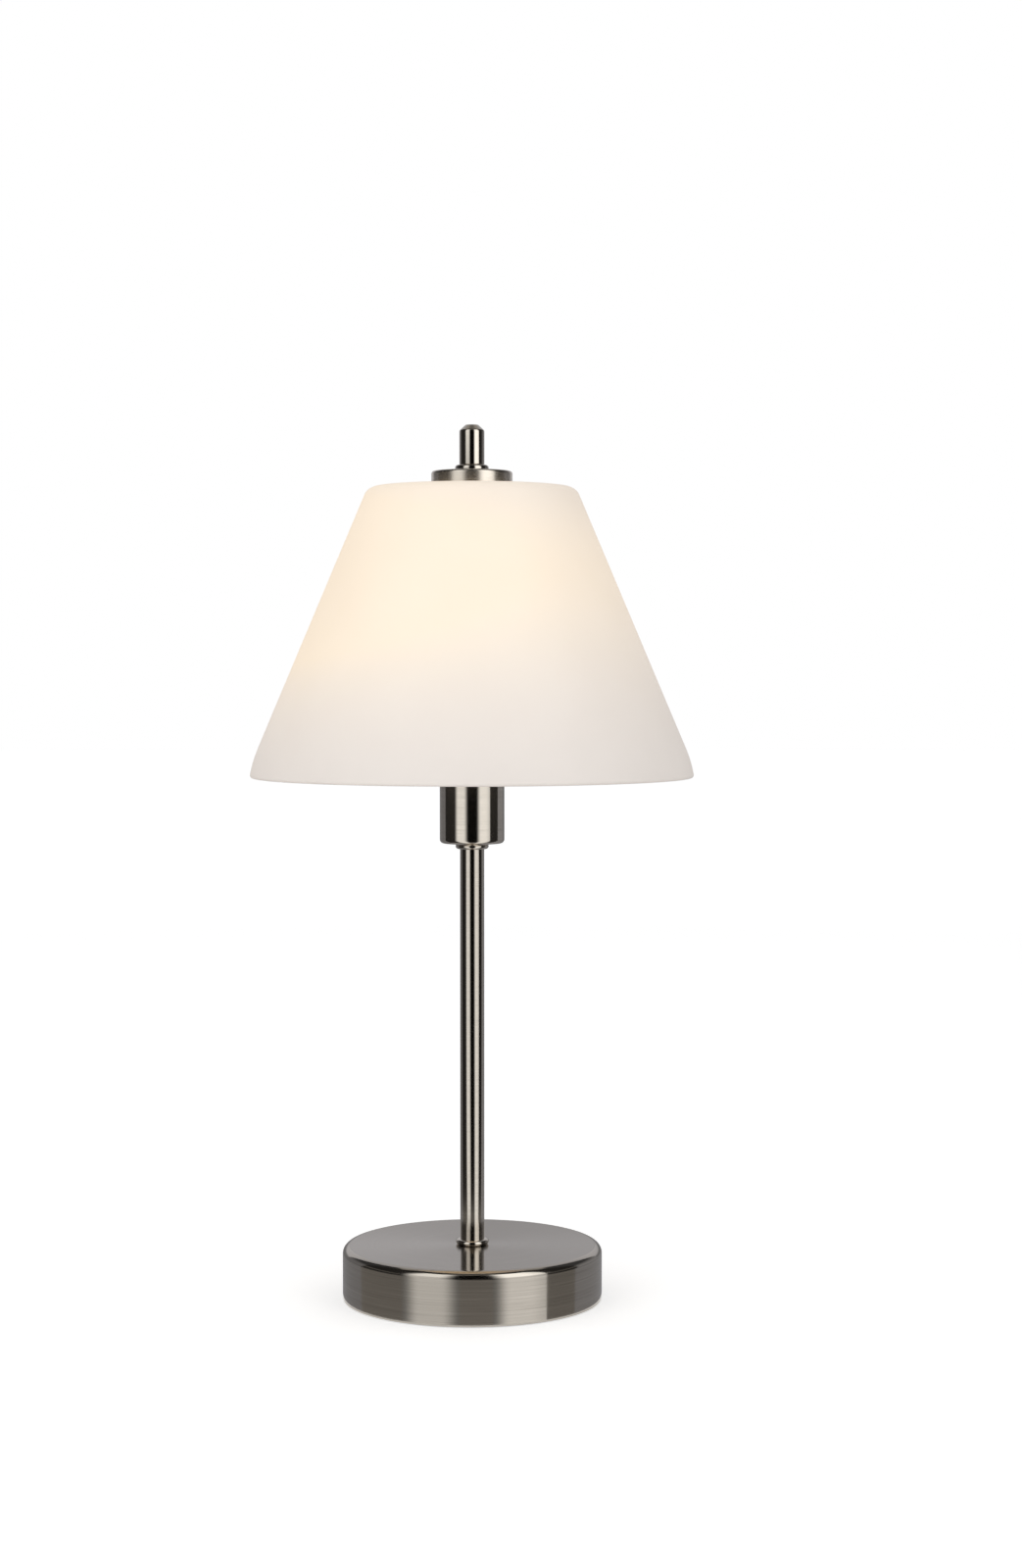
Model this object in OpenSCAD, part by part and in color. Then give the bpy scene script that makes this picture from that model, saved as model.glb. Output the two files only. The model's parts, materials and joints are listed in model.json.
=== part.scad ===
// Touch-dimming table lamp: an opal glass cone shade clamped on a wire harp,
// over a candle bulb in a small-screw lampholder, on a slim tube and a weighted round base.
// Z = 0 is the table. The cord inlet is on the +Y side, and the front of the lamp faces -Y.

/* [Base] */
// Outer diameter of the base shell
base_d = 129; // [118:1:160]
// Height of the base's top face above the table
base_h = 27; // [25:0.5:40]
// Radius of the rounded top edge of the base
base_edge_r = 4; // [3:0.5:7]
// Sheet thickness of the base shell
shell_t = 1.2; // [0.8:0.1:1.8]
// Thickness of the cast-iron weight under the shell's top
weight_t = 10; // [6:0.5:10.5]
// Thickness of the steel closing plate
plate_t = 1.2; // [0.8:0.1:1.5]
// Thickness of the foam foot pad
pad_t = 2; // [1.5:0.1:2.5]
// How far the pad stands proud of the shell's rim
pad_proud = 0.4; // [0.3:0.1:1]

/* [Cord inlet] */
// Bore of the rubber grommet that the cord passes
inlet_d = 6.6; // [5:0.1:7.5]
// Height of the inlet's axis above the table
inlet_z = 9.5; // [8.5:0.5:11]

/* [Touch dimmer] */
// Length of the dimmer's case, along Y
dimmer_l = 44; // [38:1:50]
// Width of the dimmer's case, along X
dimmer_w = 26; // [22:1:26]
// Wall of the dimmer's case
dimmer_wall = 1.5; // [1:0.1:2]

/* [Stem] */
// Outer diameter of the stem tube
stem_d = 12; // [12:0.1:16]
// Height from the base's top face to the underside of the cup
stem_h = 200; // [120:5:320]
// Outer diameter of the two collars at the tube's ends
collar_d = 16.4; // [14.5:0.1:20]
// Height of a collar
collar_h = 2.8; // [1.6:0.1:3.4]
// Bore of the hollow threaded rod
rod_bore = 7.4; // [6.5:0.1:8]

/* [Socket cup] */
// Outer diameter of the cup round the lampholder
cup_d = 32; // [32:0.5:40]
// Height of the cup
cup_h = 50; // [44:1:54]
// Wall of the cup
cup_t = 1; // [0.6:0.1:1]
// Radius of the cup's bottom edge
cup_edge_r = 2; // [1.2:0.1:3]

/* [Lampholder and bulb] */
// Outer diameter of the lampholder
holder_d = 23; // [22:0.5:23]
// Length of the lampholder's skirt
skirt_h = 34; // [30:1:38]
// Diameter of the candle bulb's glass
bulb_d = 35; // [30:0.5:38]
// Length of the bulb from its contact to its tip
bulb_l = 100; // [92:1:108]

/* [Harp] */
// Height from the cup's floor to the shoulder that carries the shade's seat
harp_h = 168.5; // [158:0.5:190]
// Width of the harp over the wire's centre lines
harp_w = 54; // [48:1:70]
// Diameter of the harp's wire
wire_d = 2.8; // [2:0.1:2.8]

/* [Glass shade] */
// Outer diameter at the rim
shade_d = 219; // [180:1:260]
// Diameter at which the cone would meet the flat top
shade_top_d = 102.5; // [90:0.5:130]
// Height of the shade
shade_h = 143; // [110:0.5:150]
// Thickness of the glass
glass_t = 3; // [2:0.1:4]
// Radius of the shade's top edge
shade_edge_r = 6; // [5:0.5:12]
// Radius of the curve that turns the cone upright at its rim
shade_lip_r = 19; // [12:1:30]

/* [Cap and finial] */
// Diameter of the pressed cap on the glass
cap_d = 40; // [36:0.5:50]
// Height of the pressed cap
cap_h = 7; // [4:0.1:9]
// Sheet thickness of the cap
cap_t = 1.2; // [0.8:0.1:1.8]
// Radius of the cap's top edge
cap_edge_r = 1.4; // [1.3:0.1:2.2]
// Thickness of the clear gasket between cap and glass
gasket_t = 0.8; // [0.8:0.1:2]
// Diameter of the finial's body
finial_d = 12.4; // [11:0.1:15]
// Height of the finial above its collar
finial_h = 19.7; // [17:0.1:26]
// Diameter of the finial's collar
finial_collar_d = 16.6; // [15.5:0.1:20]
// Height of the finial's collar
finial_collar_h = 3; // [1.8:0.1:3.5]

/* [Hidden] */
$fn = 64;

// Fits
slip = 0.2;         // radial clearance of a hole round a rod, tube or plate
snug = 0.05;        // radial clearance of a thread or a wire in its hole
cut = 1;            // how far a cutting tool runs past a face

// Standard threads and fasteners
rod_r = 5;          // M10 lamp rod
nut_across = 14;
nut_t = 4;
stud_r = 3;         // M6 stud of the harp
screw_r = 1.5;      // M3 screws
screw_head_r = 2.8;
screw_head_h = 2;
plate_screw_l = 7;   // how far a plate screw runs into its boss
tray_screw_l = 4.5;  // how far a tray screw runs into the weight
tap_room = 0.5;     // spare depth of a tapped hole
rod_hole_r = rod_r + slip;

// Base
base_r = base_d / 2;
shell_in_r = base_r - shell_t;
shell_in_z = base_h - shell_t;
plate_z = pad_t;
plate_top = plate_z + plate_t;
weight_z = shell_in_z - weight_t;
weight_gap = 1.3;   // between the weight's rim and the shell
boss_r = 4.5;
boss_ring_r = shell_in_r - 13.3;
boss_angles = [60, 180, 300];
pad_r = shell_in_r - 0.5;
washer_t = 1;
washer_r = 10;
terminal_t = 0.8;
base_nut_z = weight_z - washer_t - terminal_t - nut_t;
rod_z = base_nut_z - 0.5;

// Cord inlet
inlet_r = inlet_d / 2;
grommet_neck_r = inlet_r + 1.1;
grommet_flange_r = inlet_r + 2.7;
grommet_flange_t = 1.7;

// Leads: a pair of lamp leads up the rod, and the lead that senses a touch
lead_r = 1.1;
lead_y = 1.5;       // half the distance between the pair
lead_bend_r = 2.4;
lead_in = 2.5;      // how far a lead reaches into the dimmer's case
lead_rise = 1.5;    // straight run above the rod before the pair spreads
lead_spread = 3;    // height over which the pair spreads
lead_tail = 2.4;    // how far a lead reaches into its terminal
touch_r = 0.8;
touch_y = 9;
touch_turn = -70;

// Touch dimmer, hung under the weight beside the rod
boss_room = 3.5;    // between the case and the nearest boss
dimmer_x = -(boss_ring_r - boss_r - boss_room);     // its outer long side
tray_t = 2;
dimmer_z = plate_top + 1.1;
tray_z = weight_z - tray_t;
cover_h = tray_z - dimmer_z;
ear_l = 8;
board_t = 1.6;
board_gap = 0.4;
ear_y = dimmer_l / 2 + ear_l / 2;
lead_z = dimmer_z + dimmer_wall + lead_r + 0.3;
touch_z = dimmer_z + 4;

// Stem
stem_r = stem_d / 2;
collar_r = collar_d / 2;
collar_seat = 0.7;  // depth of the step in a collar that holds the tube's end
tube_end_r = 0.6;
stem_foot_z = base_h + collar_h - collar_seat;
cup_z = base_h + stem_h;
stem_top_z = cup_z - collar_h + collar_seat;

// Socket cup and what is clamped in it
cup_r = cup_d / 2;
cup_floor = cup_z + cup_t;
saddle_t = 1.4;
saddle_w = 12;
ear_t = 1.2;
ear_h = 12;
wire_r = wire_d / 2;
leg_x = cup_r - cup_t - 0.3 - wire_r;
ear_x = leg_x - wire_r - snug;
cup_nut_z = cup_floor + saddle_t;
holder_z = cup_nut_z + nut_t + 0.6;

// Lampholder, from its own foot upward
holder_r = holder_d / 2;
holder_neck_r = 8;
holder_cap_h = 16;
holder_wall = 1.6;
entry_h = 8;        // threaded entry that takes the rod's end
ledge_z = holder_cap_h - 1.5;
insert_t = 6.5;
insert_r = holder_r - holder_wall - slip;
insert_z = holder_z + ledge_z;
shell_floor_z = insert_z + insert_t;
rod_top = holder_z + entry_h;
skirt_z = holder_z + holder_cap_h;
skirt_top = skirt_z + skirt_h;
terminal_y = 5;
contact_h = 1.9;

// Bulb
thread_r = 6.95;    // outside of the small screw cap
contact_gap = 0.1;
bulb_z = shell_floor_z + contact_h + contact_gap;
bulb_r = bulb_d / 2;
bulb_tip = bulb_z + bulb_l;
bulb_contact_h = 2;
insulator_h = 3;
bulb_cap_h = 18;
bulb_cap_z = bulb_z + bulb_contact_h + insulator_h;
bulb_neck_z = bulb_cap_z + bulb_cap_h - 2;
bulb_glass_t = 0.8;
neck_r = thread_r - 0.55;

// Harp
shoulder_z = cup_floor + harp_h;
block_r = 5;
block_h = 11;
run_z = shoulder_z - 6;                 // centre line of the wire through the block
run_x = block_r + 1.5;                  // half the straight run at the top
bow_x = harp_w / 2;
bow_r = bow_x - run_x;
bend_r = 16;
bend_angle = acos(1 - (bow_x - leg_x) / (2 * bend_r));
bend_z = cup_z + cup_h + 3;
bow_z = bend_z + 2 * bend_r * sin(bend_angle);

// Shade and what clamps it, from the shoulder upward
seat_plate_t = 1.2;
seat_plate_r = 17;
seat_washer_t = 2;
seat_washer_r = seat_plate_r - 1;
glass_under_z = shoulder_z + seat_plate_t + seat_washer_t;
shade_top = glass_under_z + glass_t;
shade_rim = shade_top - shade_h;
shade_r = shade_d / 2;
shade_top_r = shade_top_d / 2;
shade_hole_r = 5.5;
gasket_r = cap_d / 2 - 0.8;
gasket_bore_r = 7;
cap_z = shade_top + gasket_t;
cap_top = cap_z + cap_h;
finial_r = finial_d / 2;
finial_collar_r = finial_collar_d / 2;
neck_journal_r = 4;                     // the finial's neck, which turns in the collar
finial_tip_r = 3.1;
finial_bevel = 2.8;                     // height of the bevelled end
stud_in_finial = 12.5;
stud_top = cap_top + stud_in_finial;

// Shapes
function unit(v) = v / norm(v);

// The corner c between p and q as an arc of radius r, in the plane or in space
function bend(p, c, q, r) =
    let (u = unit(p - c), v = unit(q - c), half = acos(max(-1, min(1, u * v))) / 2)
    half > 89.5 || r <= 0 ? [c] :
    let (
        centre = c + unit(u + v) * r / sin(half),
        a = unit(c + u * r / tan(half) - centre),
        b = unit(c + v * r / tan(half) - centre),
        side = unit(b - a * (a * b)),
        sweep = 180 - 2 * half,
        steps = ceil(sweep / 12)
    )
    [for (k = [0 : steps]) centre + r * (a * cos(sweep * k / steps) + side * sin(sweep * k / steps))];

function arc(c, r, from, to) =
    let (steps = ceil(abs(to - from) / 6))
    [for (k = [0 : steps]) let (a = from + (to - from) * k / steps) c + r * [cos(a), sin(a)]];

function reversed(v) = [for (i = [len(v) - 1 : -1 : 0]) v[i]];

// A closed outline. Each corner is [x, y, radius].
function outline(corners) =
    let (n = len(corners), at = [for (c = corners) [c[0], c[1]]])
    [for (i = [0 : n - 1]) each bend(at[(i + n - 1) % n], at[i], at[(i + 1) % n], corners[i][2])];

// An open route in space, with the same radius at each inner point
function rounded_route(pts, r) =
    [pts[0], for (i = [1 : len(pts) - 2]) each bend(pts[i - 1], pts[i], pts[i + 1], r), pts[len(pts) - 1]];

module turned(corners) {
    rotate_extrude() polygon(outline(corners));
}

module ring(r_out, r_in, h) {
    difference() {
        cylinder(r = r_out, h = h);
        translate([0, 0, -cut]) cylinder(r = r_in, h = h + 2 * cut);
    }
}

module hex_nut(across, h, bore_r) {
    difference() {
        cylinder(r = across / sqrt(3), h = h, $fn = 6);
        translate([0, 0, -cut]) cylinder(r = bore_r, h = h + 2 * cut);
    }
}

// A round lead of radius r along a route. across is a direction that the route never runs along.
module lead(route, r, across, sides = 8) {
    n = len(route);
    function along(i) = unit(route[min(i + 1, n - 1)] - route[max(i - 1, 0)]);
    rings = [for (i = [0 : n - 1])
        let (t = along(i), a = unit(cross(t, across)), b = cross(t, a))
        for (k = [0 : sides - 1]) route[i] + r * (a * cos(360 * k / sides) + b * sin(360 * k / sides))];
    quads = [for (i = [0 : n - 2]) for (k = [0 : sides - 1])
        let (m = (k + 1) % sides)
        each [[i * sides + k, (i + 1) * sides + k, (i + 1) * sides + m],
              [i * sides + k, (i + 1) * sides + m, i * sides + m]]];
    polyhedron(rings, concat(quads,
        [[for (k = [0 : sides - 1]) k]],
        [[for (k = [sides - 1 : -1 : 0]) (n - 1) * sides + k]]));
}

// Base
module foot_pad() {
    color("dimgray")
        turned([[0, 0, 0], [pad_r, 0, 0.5], [pad_r, pad_t, 0], [0, pad_t, 0]]);
}

module at_bosses() {
    for (a = boss_angles) rotate([0, 0, a]) translate([boss_ring_r, 0, 0]) children();
}

module base_plate() {
    color("gainsboro") difference() {
        translate([0, 0, plate_z]) cylinder(r = shell_in_r - slip, h = plate_t);
        at_bosses() {
            translate([0, 0, plate_z - cut]) cylinder(r = screw_r + slip, h = plate_t + 2 * cut);
            translate([0, 0, plate_z - snug]) cylinder(r1 = screw_head_r + slip, r2 = screw_r + slip, h = plate_t);
        }
    }
}

module plate_screws() {
    color("silver") at_bosses() {
        translate([0, 0, plate_z]) cylinder(r1 = screw_head_r - slip, r2 = screw_r, h = plate_t);
        translate([0, 0, plate_z]) cylinder(r = screw_r, h = plate_t + plate_screw_l);
    }
}

module base_shell() {
    color("silver") difference() {
        turned([[0, shell_in_z, 0], [shell_in_r, shell_in_z, base_edge_r - shell_t], [shell_in_r, pad_proud, 0],
            [base_r, pad_proud, 0], [base_r, base_h, base_edge_r], [0, base_h, 0]]);
        translate([0, 0, shell_in_z - cut]) cylinder(r = rod_hole_r, h = shell_t + 2 * cut);
        translate([0, base_r + cut, inlet_z]) rotate([90, 0, 0]) cylinder(r = grommet_neck_r + snug, h = 10);
    }
}

module base_weight() {
    weight_r = shell_in_r - weight_gap;
    color("dimgray") difference() {
        union() {
            turned([[0, weight_z, 0], [weight_r, weight_z, 1],
                [weight_r, shell_in_z - base_edge_r, 1], [weight_r - base_edge_r, shell_in_z, 0], [0, shell_in_z, 0]]);
            at_bosses() translate([0, 0, plate_top]) cylinder(r = boss_r, h = weight_z - plate_top + cut);
        }
        translate([0, 0, weight_z - cut]) cylinder(r = rod_hole_r, h = weight_t + 2 * cut);
        at_bosses() translate([0, 0, plate_top - cut]) cylinder(r = screw_r + snug, h = plate_screw_l + 2 * tap_room + cut);
        for (y = [-1, 1]) translate([dimmer_x + dimmer_w / 2, y * ear_y, weight_z - cut])
            cylinder(r = screw_r + snug, h = tray_screw_l + tap_room + cut);
    }
}

module cord_grommet() {
    neck_l = shell_t + 0.4;
    color("black") translate([0, base_r - neck_l, inlet_z]) rotate([-90, 0, 0]) difference() {
        union() {
            cylinder(r = grommet_neck_r, h = neck_l + grommet_flange_t);
            translate([0, 0, neck_l + snug]) cylinder(r1 = grommet_flange_r, r2 = grommet_flange_r - 0.8, h = grommet_flange_t - snug);
            translate([0, 0, -grommet_flange_t]) cylinder(r = grommet_flange_r - 0.5, h = grommet_flange_t);
        }
        translate([0, 0, -grommet_flange_t - cut]) cylinder(r = inlet_r, h = neck_l + 2 * grommet_flange_t + 2 * cut);
    }
}

// Touch dimmer
module dimmer_block(inset, z, h) {
    translate([dimmer_x + inset, -dimmer_l / 2 + inset, z]) cube([dimmer_w - 2 * inset, dimmer_l - 2 * inset, h]);
}

module dimmer_tray() {
    color("whitesmoke") difference() {
        union() {
            dimmer_block(0, tray_z, tray_t);
            for (y = [-1, 1]) translate([dimmer_x + dimmer_w / 2, y * ear_y, tray_z]) {
                cylinder(r = ear_l / 2, h = tray_t);
                translate([-ear_l / 2, y > 0 ? -ear_l / 2 : 0, 0]) cube([ear_l, ear_l / 2, tray_t]);
            }
        }
        for (y = [-1, 1]) translate([dimmer_x + dimmer_w / 2, y * ear_y, tray_z - cut])
            cylinder(r = screw_r + slip, h = tray_t + 2 * cut);
    }
}

module dimmer_cover() {
    color("whitesmoke") difference() {
        dimmer_block(0, dimmer_z, cover_h);
        dimmer_block(dimmer_wall, dimmer_z + dimmer_wall, cover_h);
        for (y = [-lead_y, lead_y]) translate([dimmer_x + dimmer_w - dimmer_wall - cut, y, lead_z])
            rotate([0, 90, 0]) cylinder(r = lead_r + slip, h = dimmer_wall + 2 * cut);
        translate([dimmer_x + dimmer_w - dimmer_wall - cut, touch_y, touch_z])
            rotate([0, 90, 0]) cylinder(r = touch_r + slip, h = dimmer_wall + 2 * cut);
    }
}

module dimmer_board() {
    color("seagreen") dimmer_block(dimmer_wall + 0.3, tray_z - board_t - board_gap, board_t);
    color("seagreen") for (x = [0.25, 0.75], y = [-0.3, 0.3])
        translate([dimmer_x + dimmer_w * x, dimmer_l * y, tray_z - board_gap]) cylinder(r = 1.2, h = board_gap);
}

module dimmer_components() {
    under = tray_z - board_gap - board_t;
    room = cover_h - board_gap - board_t - dimmer_wall;
    mid_x = dimmer_x + dimmer_w / 2;
    // choke, capacitor, triac, touch chip and the output terminals
    color("darkorange") translate([mid_x - 4, dimmer_l / 2 - 9.5, under - 4]) rotate_extrude() translate([3.6, 2]) circle(1.7);
    color("gold") translate([mid_x - 9, -6, under - 4.6]) cube([6, 12, 4.6]);
    color("black") translate([mid_x - 8, -dimmer_l / 2 + 4, under - 4.4]) cube([10, 4.4, 4.4]);
    color("black") translate([mid_x - 1, -dimmer_l / 2 + 11, under - 1.6]) cube([5, 4, 1.6]);
    color("forestgreen") translate([dimmer_x + dimmer_w - dimmer_wall - 8.5, -4.5, under - room + 0.6]) cube([6, 9, room - 0.6]);
}

module dimmer_screws() {
    color("silver") for (y = [-1, 1]) translate([dimmer_x + dimmer_w / 2, y * ear_y, 0]) {
        translate([0, 0, tray_z - screw_head_h]) cylinder(r1 = screw_head_r - 0.5, r2 = screw_head_r, h = screw_head_h);
        translate([0, 0, tray_z - screw_head_h / 2]) cylinder(r = screw_r, h = tray_t + screw_head_h / 2 + tray_screw_l);
    }
}

// Rod and what it clamps in the base
tab_x = -washer_r - 5;

module touch_terminal() {
    z = weight_z - washer_t - terminal_t;
    color("goldenrod") translate([0, 0, z]) difference() {
        union() {
            cylinder(r = washer_r - 1, h = terminal_t);
            rotate([0, 0, touch_turn]) translate([tab_x, -1.6, 0]) cube([-tab_x, 3.2, terminal_t]);
        }
        translate([0, 0, -cut]) cylinder(r = rod_hole_r, h = terminal_t + 2 * cut);
    }
}

module lock_washer() {
    teeth = 12;
    color("silver") translate([0, 0, weight_z - washer_t]) difference() {
        ring(washer_r, rod_hole_r, washer_t);
        for (k = [0 : teeth - 1]) rotate([0, 0, k * 360 / teeth])
            translate([washer_r - 1.8, -0.5, -cut]) cube([3, 1, washer_t + 2 * cut]);
    }
}

module base_nut() {
    color("silver") translate([0, 0, base_nut_z]) hex_nut(nut_across, nut_t, rod_r + snug);
}

module threaded_rod() {
    color("silver") translate([0, 0, rod_z]) ring(rod_r, rod_bore / 2, rod_top - rod_z);
}

// Stem
module collar() {
    turned([[rod_hole_r, 0, 0], [collar_r, 0, collar_h / 2 - snug], [collar_r, collar_h, collar_h / 2 - snug],
        [stem_r + snug, collar_h, 0], [stem_r + snug, collar_h - collar_seat, 0],
        [rod_hole_r, collar_h - collar_seat, 0]]);
}

module foot_collar() {
    color("silver") translate([0, 0, base_h]) collar();
}

module top_collar() {
    color("silver") translate([0, 0, cup_z]) mirror([0, 0, 1]) collar();
}

module stem_tube() {
    color("silver")
        turned([[rod_hole_r, stem_foot_z, 0], [stem_r, stem_foot_z, tube_end_r],
            [stem_r, stem_top_z, tube_end_r], [rod_hole_r, stem_top_z, 0]]);
}

// Cup
module socket_cup() {
    in_r = cup_r - cup_t;
    color("silver") difference() {
        turned([[0, cup_z, 0], [cup_r, cup_z, cup_edge_r], [cup_r, cup_z + cup_h, 0], [in_r, cup_z + cup_h, 0],
            [in_r, cup_floor, cup_edge_r - cup_t], [0, cup_floor, 0]]);
        translate([0, 0, cup_z - cut]) cylinder(r = rod_hole_r, h = cup_t + 2 * cut);
    }
}

module harp_saddle() {
    color("silver") difference() {
        union() {
            translate([-ear_x, -saddle_w / 2, cup_floor]) cube([2 * ear_x, saddle_w, saddle_t]);
            for (s = [0, 1]) mirror([s, 0, 0])
                translate([ear_x - ear_t, -saddle_w / 2 + 2, cup_floor]) cube([ear_t, saddle_w - 4, ear_h]);
        }
        translate([0, 0, cup_floor - cut]) cylinder(r = rod_hole_r, h = saddle_t + 2 * cut);
    }
}

module cup_nut() {
    color("silver") translate([0, 0, cup_nut_z]) hex_nut(nut_across, nut_t, rod_r + snug);
}

// Leads
// From the dimmer's terminals along the base, up the rod's bore and out to the lampholder's terminals
function lamp_route(side) = rounded_route([
    [dimmer_x + dimmer_w - dimmer_wall - lead_in, side * lead_y, lead_z],
    [0, side * lead_y, lead_z],
    [0, side * lead_y, rod_top + lead_rise],
    [0, side * terminal_y, rod_top + lead_rise + lead_spread],
    [0, side * terminal_y, insert_z + lead_tail]], lead_bend_r);

module live_lead() {
    color("saddlebrown") lead(lamp_route(1), lead_r, [0.25, 0.9, 0.2]);
}

module neutral_lead() {
    color("steelblue") lead(lamp_route(-1), lead_r, [0.25, -0.9, 0.2]);
}

module touch_lead() {
    tip = [tab_x * cos(touch_turn), tab_x * sin(touch_turn), weight_z - washer_t - terminal_t - touch_r];
    color("black") lead(rounded_route([
        tip + [2, 0, 0],
        tip + [-1, 0, 0],
        [dimmer_x + dimmer_w + 2.5, touch_y, touch_z],
        [dimmer_x + dimmer_w - dimmer_wall - 1, touch_y, touch_z]], 1), touch_r, [0, 0.3, 1]);
}

// Lampholder
module holder_cap() {
    wall_r = holder_r - holder_wall;
    color("white") translate([0, 0, holder_z])
        turned([[rod_r + snug, 0, 0], [holder_neck_r, 0, 1], [holder_neck_r, 3, 2], [holder_r, 9, 2],
            [holder_r, holder_cap_h, 0], [insert_r + snug, holder_cap_h, 0], [insert_r + snug, ledge_z, 0],
            [wall_r - 1, ledge_z, 0], [wall_r - 1, entry_h + 1.5, 1], [rod_r + snug, entry_h, 0]]);
}

module holder_insert() {
    color("ivory") translate([0, 0, insert_z]) difference() {
        cylinder(r = insert_r, h = insert_t);
        for (s = [-1, 1]) {
            translate([0, s * terminal_y, -cut]) cylinder(r = lead_r + slip, h = 4.5 + cut);
            translate([0, 0, 3]) rotate([-90 * s, 0, 0]) translate([0, 0, terminal_y]) cylinder(r = screw_r + snug, h = 8);
        }
        for (s = [-1, 1]) translate([s * (insert_r - 1), -1, -cut]) cube([2, 2, insert_t + 2 * cut], center = false);
    }
}

module terminal_screws() {
    color("gold") for (s = [-1, 1]) translate([0, 0, insert_z + 3]) rotate([-90 * s, 0, 0])
        translate([0, 0, terminal_y + lead_r + snug]) cylinder(r = screw_r, h = 3);
}

module screw_contact() {
    in_r = thread_r + 0.15;
    color("gold") translate([0, 0, shell_floor_z])
        turned([[3.2, 0, 0], [in_r + 0.4, 0, 0.6], [in_r + 0.4, 24, 0], [in_r, 24, 0], [in_r, 0.4, 0.2], [3.2, 0.4, 0]]);
}

module centre_contact() {
    color("gold") translate([0, 0, shell_floor_z])
        turned([[0, 0, 0], [2.6, 0, 0], [2.6, 0.5, 0.2], [1.7, contact_h, 0.5], [0, contact_h, 0]]);
}

module holder_skirt() {
    in_r = holder_r - holder_wall;
    color("white") translate([0, 0, skirt_z])
        turned([[in_r, 0, 0], [holder_r, 0, 0], [holder_r, skirt_h, 1], [thread_r + 1.4, skirt_h, 0.5],
            [thread_r + 1.4, skirt_h - 2, 0], [in_r, skirt_h - 3.5, 0]]);
}

// Bulb
module bulb_contact() {
    color("lightgray") translate([0, 0, bulb_z])
        turned([[0, 0, 0], [2.4, 0, 0.8], [2.4, bulb_contact_h, 0], [0, bulb_contact_h, 0]]);
}

module bulb_insulator() {
    color("black") translate([0, 0, bulb_z + bulb_contact_h])
        turned([[0, 0, 0], [3, 0, 0], [4.6, insulator_h, 0], [0, insulator_h, 0]]);
}

module bulb_cap() {
    color("silver") translate([0, 0, bulb_cap_z])
        turned([[0, 0, 0], [4.8, 0, 0.5], [thread_r, 3, 1], [thread_r, bulb_cap_h, 0.2],
            [neck_r + snug, bulb_cap_h, 0], [neck_r + snug, bulb_cap_h - 2.1, 0], [5.6, bulb_cap_h - 2.1, 0],
            [5.6, 3.5, 0.5], [4.3, 0.8, 0], [0, 0.8, 0]]);
}

// Half the candle bulb's outline from its neck to its tip, taken in by inset
function bulb_corners(inset) =
    let (g = bulb_tip - bulb_neck_z, wide = bulb_r - inset, z = bulb_neck_z)
    [[neck_r - inset, z, 0], [neck_r - inset, z + 5, 8], [wide, z + 0.3 * g, 18], [wide, z + 0.56 * g, 30],
     [0.63 * wide, z + 0.84 * (g - inset), 40], [3.2 - inset, bulb_tip - inset, 3 - inset], [0, bulb_tip - inset, 0]];

module bulb_glass() {
    inside = reversed(bulb_corners(bulb_glass_t));
    color([1, 0.98, 0.93, 0.8]) turned(concat(bulb_corners(0), inside));
}

module bulb_stem() {
    in_r = neck_r - bulb_glass_t;
    color([0.9, 0.95, 1, 0.7]) translate([0, 0, bulb_neck_z])
        turned([[0, 0, 0], [in_r - snug, 0, 0], [in_r - snug, 1.5, 0.6], [2.2, 5, 1.5], [2.2, 24, 0.8], [0, 24, 0]]);
}

module bulb_filament() {
    support_x = 7;
    top = bulb_neck_z + 42;
    color("silver") for (s = [-1, 1])
        lead([[s * 0.9, 0, bulb_neck_z + 24], [s * 1.6, 0, bulb_neck_z + 28], [s * support_x, 0, top]], 0.25, [0, 1, 0]);
    color("dimgray") translate([-support_x - 0.3, 0, top]) rotate([0, 90, 0]) cylinder(r = 0.45, h = 2 * support_x + 0.6);
}

// Harp
wire_foot = cup_floor + saddle_t + 0.4;

// Half the wire's centre line, from its foot up round the bulb and in to the block
function harp_side(s) = [
    [s * leg_x, 0, wire_foot],
    for (a = [0 : 5]) [s * (leg_x + bend_r * (1 - cos(bend_angle * a / 5))), 0, bend_z + bend_r * sin(bend_angle * a / 5)],
    for (a = [4 : -1 : 0]) [s * (bow_x - bend_r * (1 - cos(bend_angle * a / 5))), 0, bow_z - bend_r * sin(bend_angle * a / 5)],
    for (a = [0 : 8]) [s * (run_x + bow_r * cos(90 * a / 8)), 0, run_z - bow_r + bow_r * sin(90 * a / 8)]];

module harp_wire() {
    color("silver") lead(concat(harp_side(-1), reversed(harp_side(1))), wire_r, [0, 1, 0], 16);
}

module harp_stud() {
    color("silver") difference() {
        union() {
            turned([[0, shoulder_z - block_h, 0], [block_r, shoulder_z - block_h, 0.8], [block_r, shoulder_z, 0.4], [0, shoulder_z, 0]]);
            turned([[0, shoulder_z - cut, 0], [stud_r - snug, shoulder_z - cut, 0], [stud_r - snug, stud_top, 0.8], [0, stud_top, 0]]);
        }
        translate([-block_r - cut, 0, run_z]) rotate([0, 90, 0]) cylinder(r = wire_r + snug, h = 2 * (block_r + cut));
    }
}

module seat_plate() {
    lip = 2.4;
    color("silver") translate([0, 0, shoulder_z])
        turned([[stud_r + slip, 0, 0], [seat_plate_r - seat_plate_t, 0, 0], [seat_plate_r - seat_plate_t, -lip, 0],
            [seat_plate_r, -lip, 0], [seat_plate_r, seat_plate_t, 1], [stud_r + slip, seat_plate_t, 0]]);
}

module seat_washer() {
    color("black") translate([0, 0, shoulder_z + seat_plate_t])
        turned([[stud_r + slip, 0, 0], [seat_washer_r, 0, 0.4], [seat_washer_r, seat_washer_t, 0.4], [stud_r + slip, seat_washer_t, 0]]);
}

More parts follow.
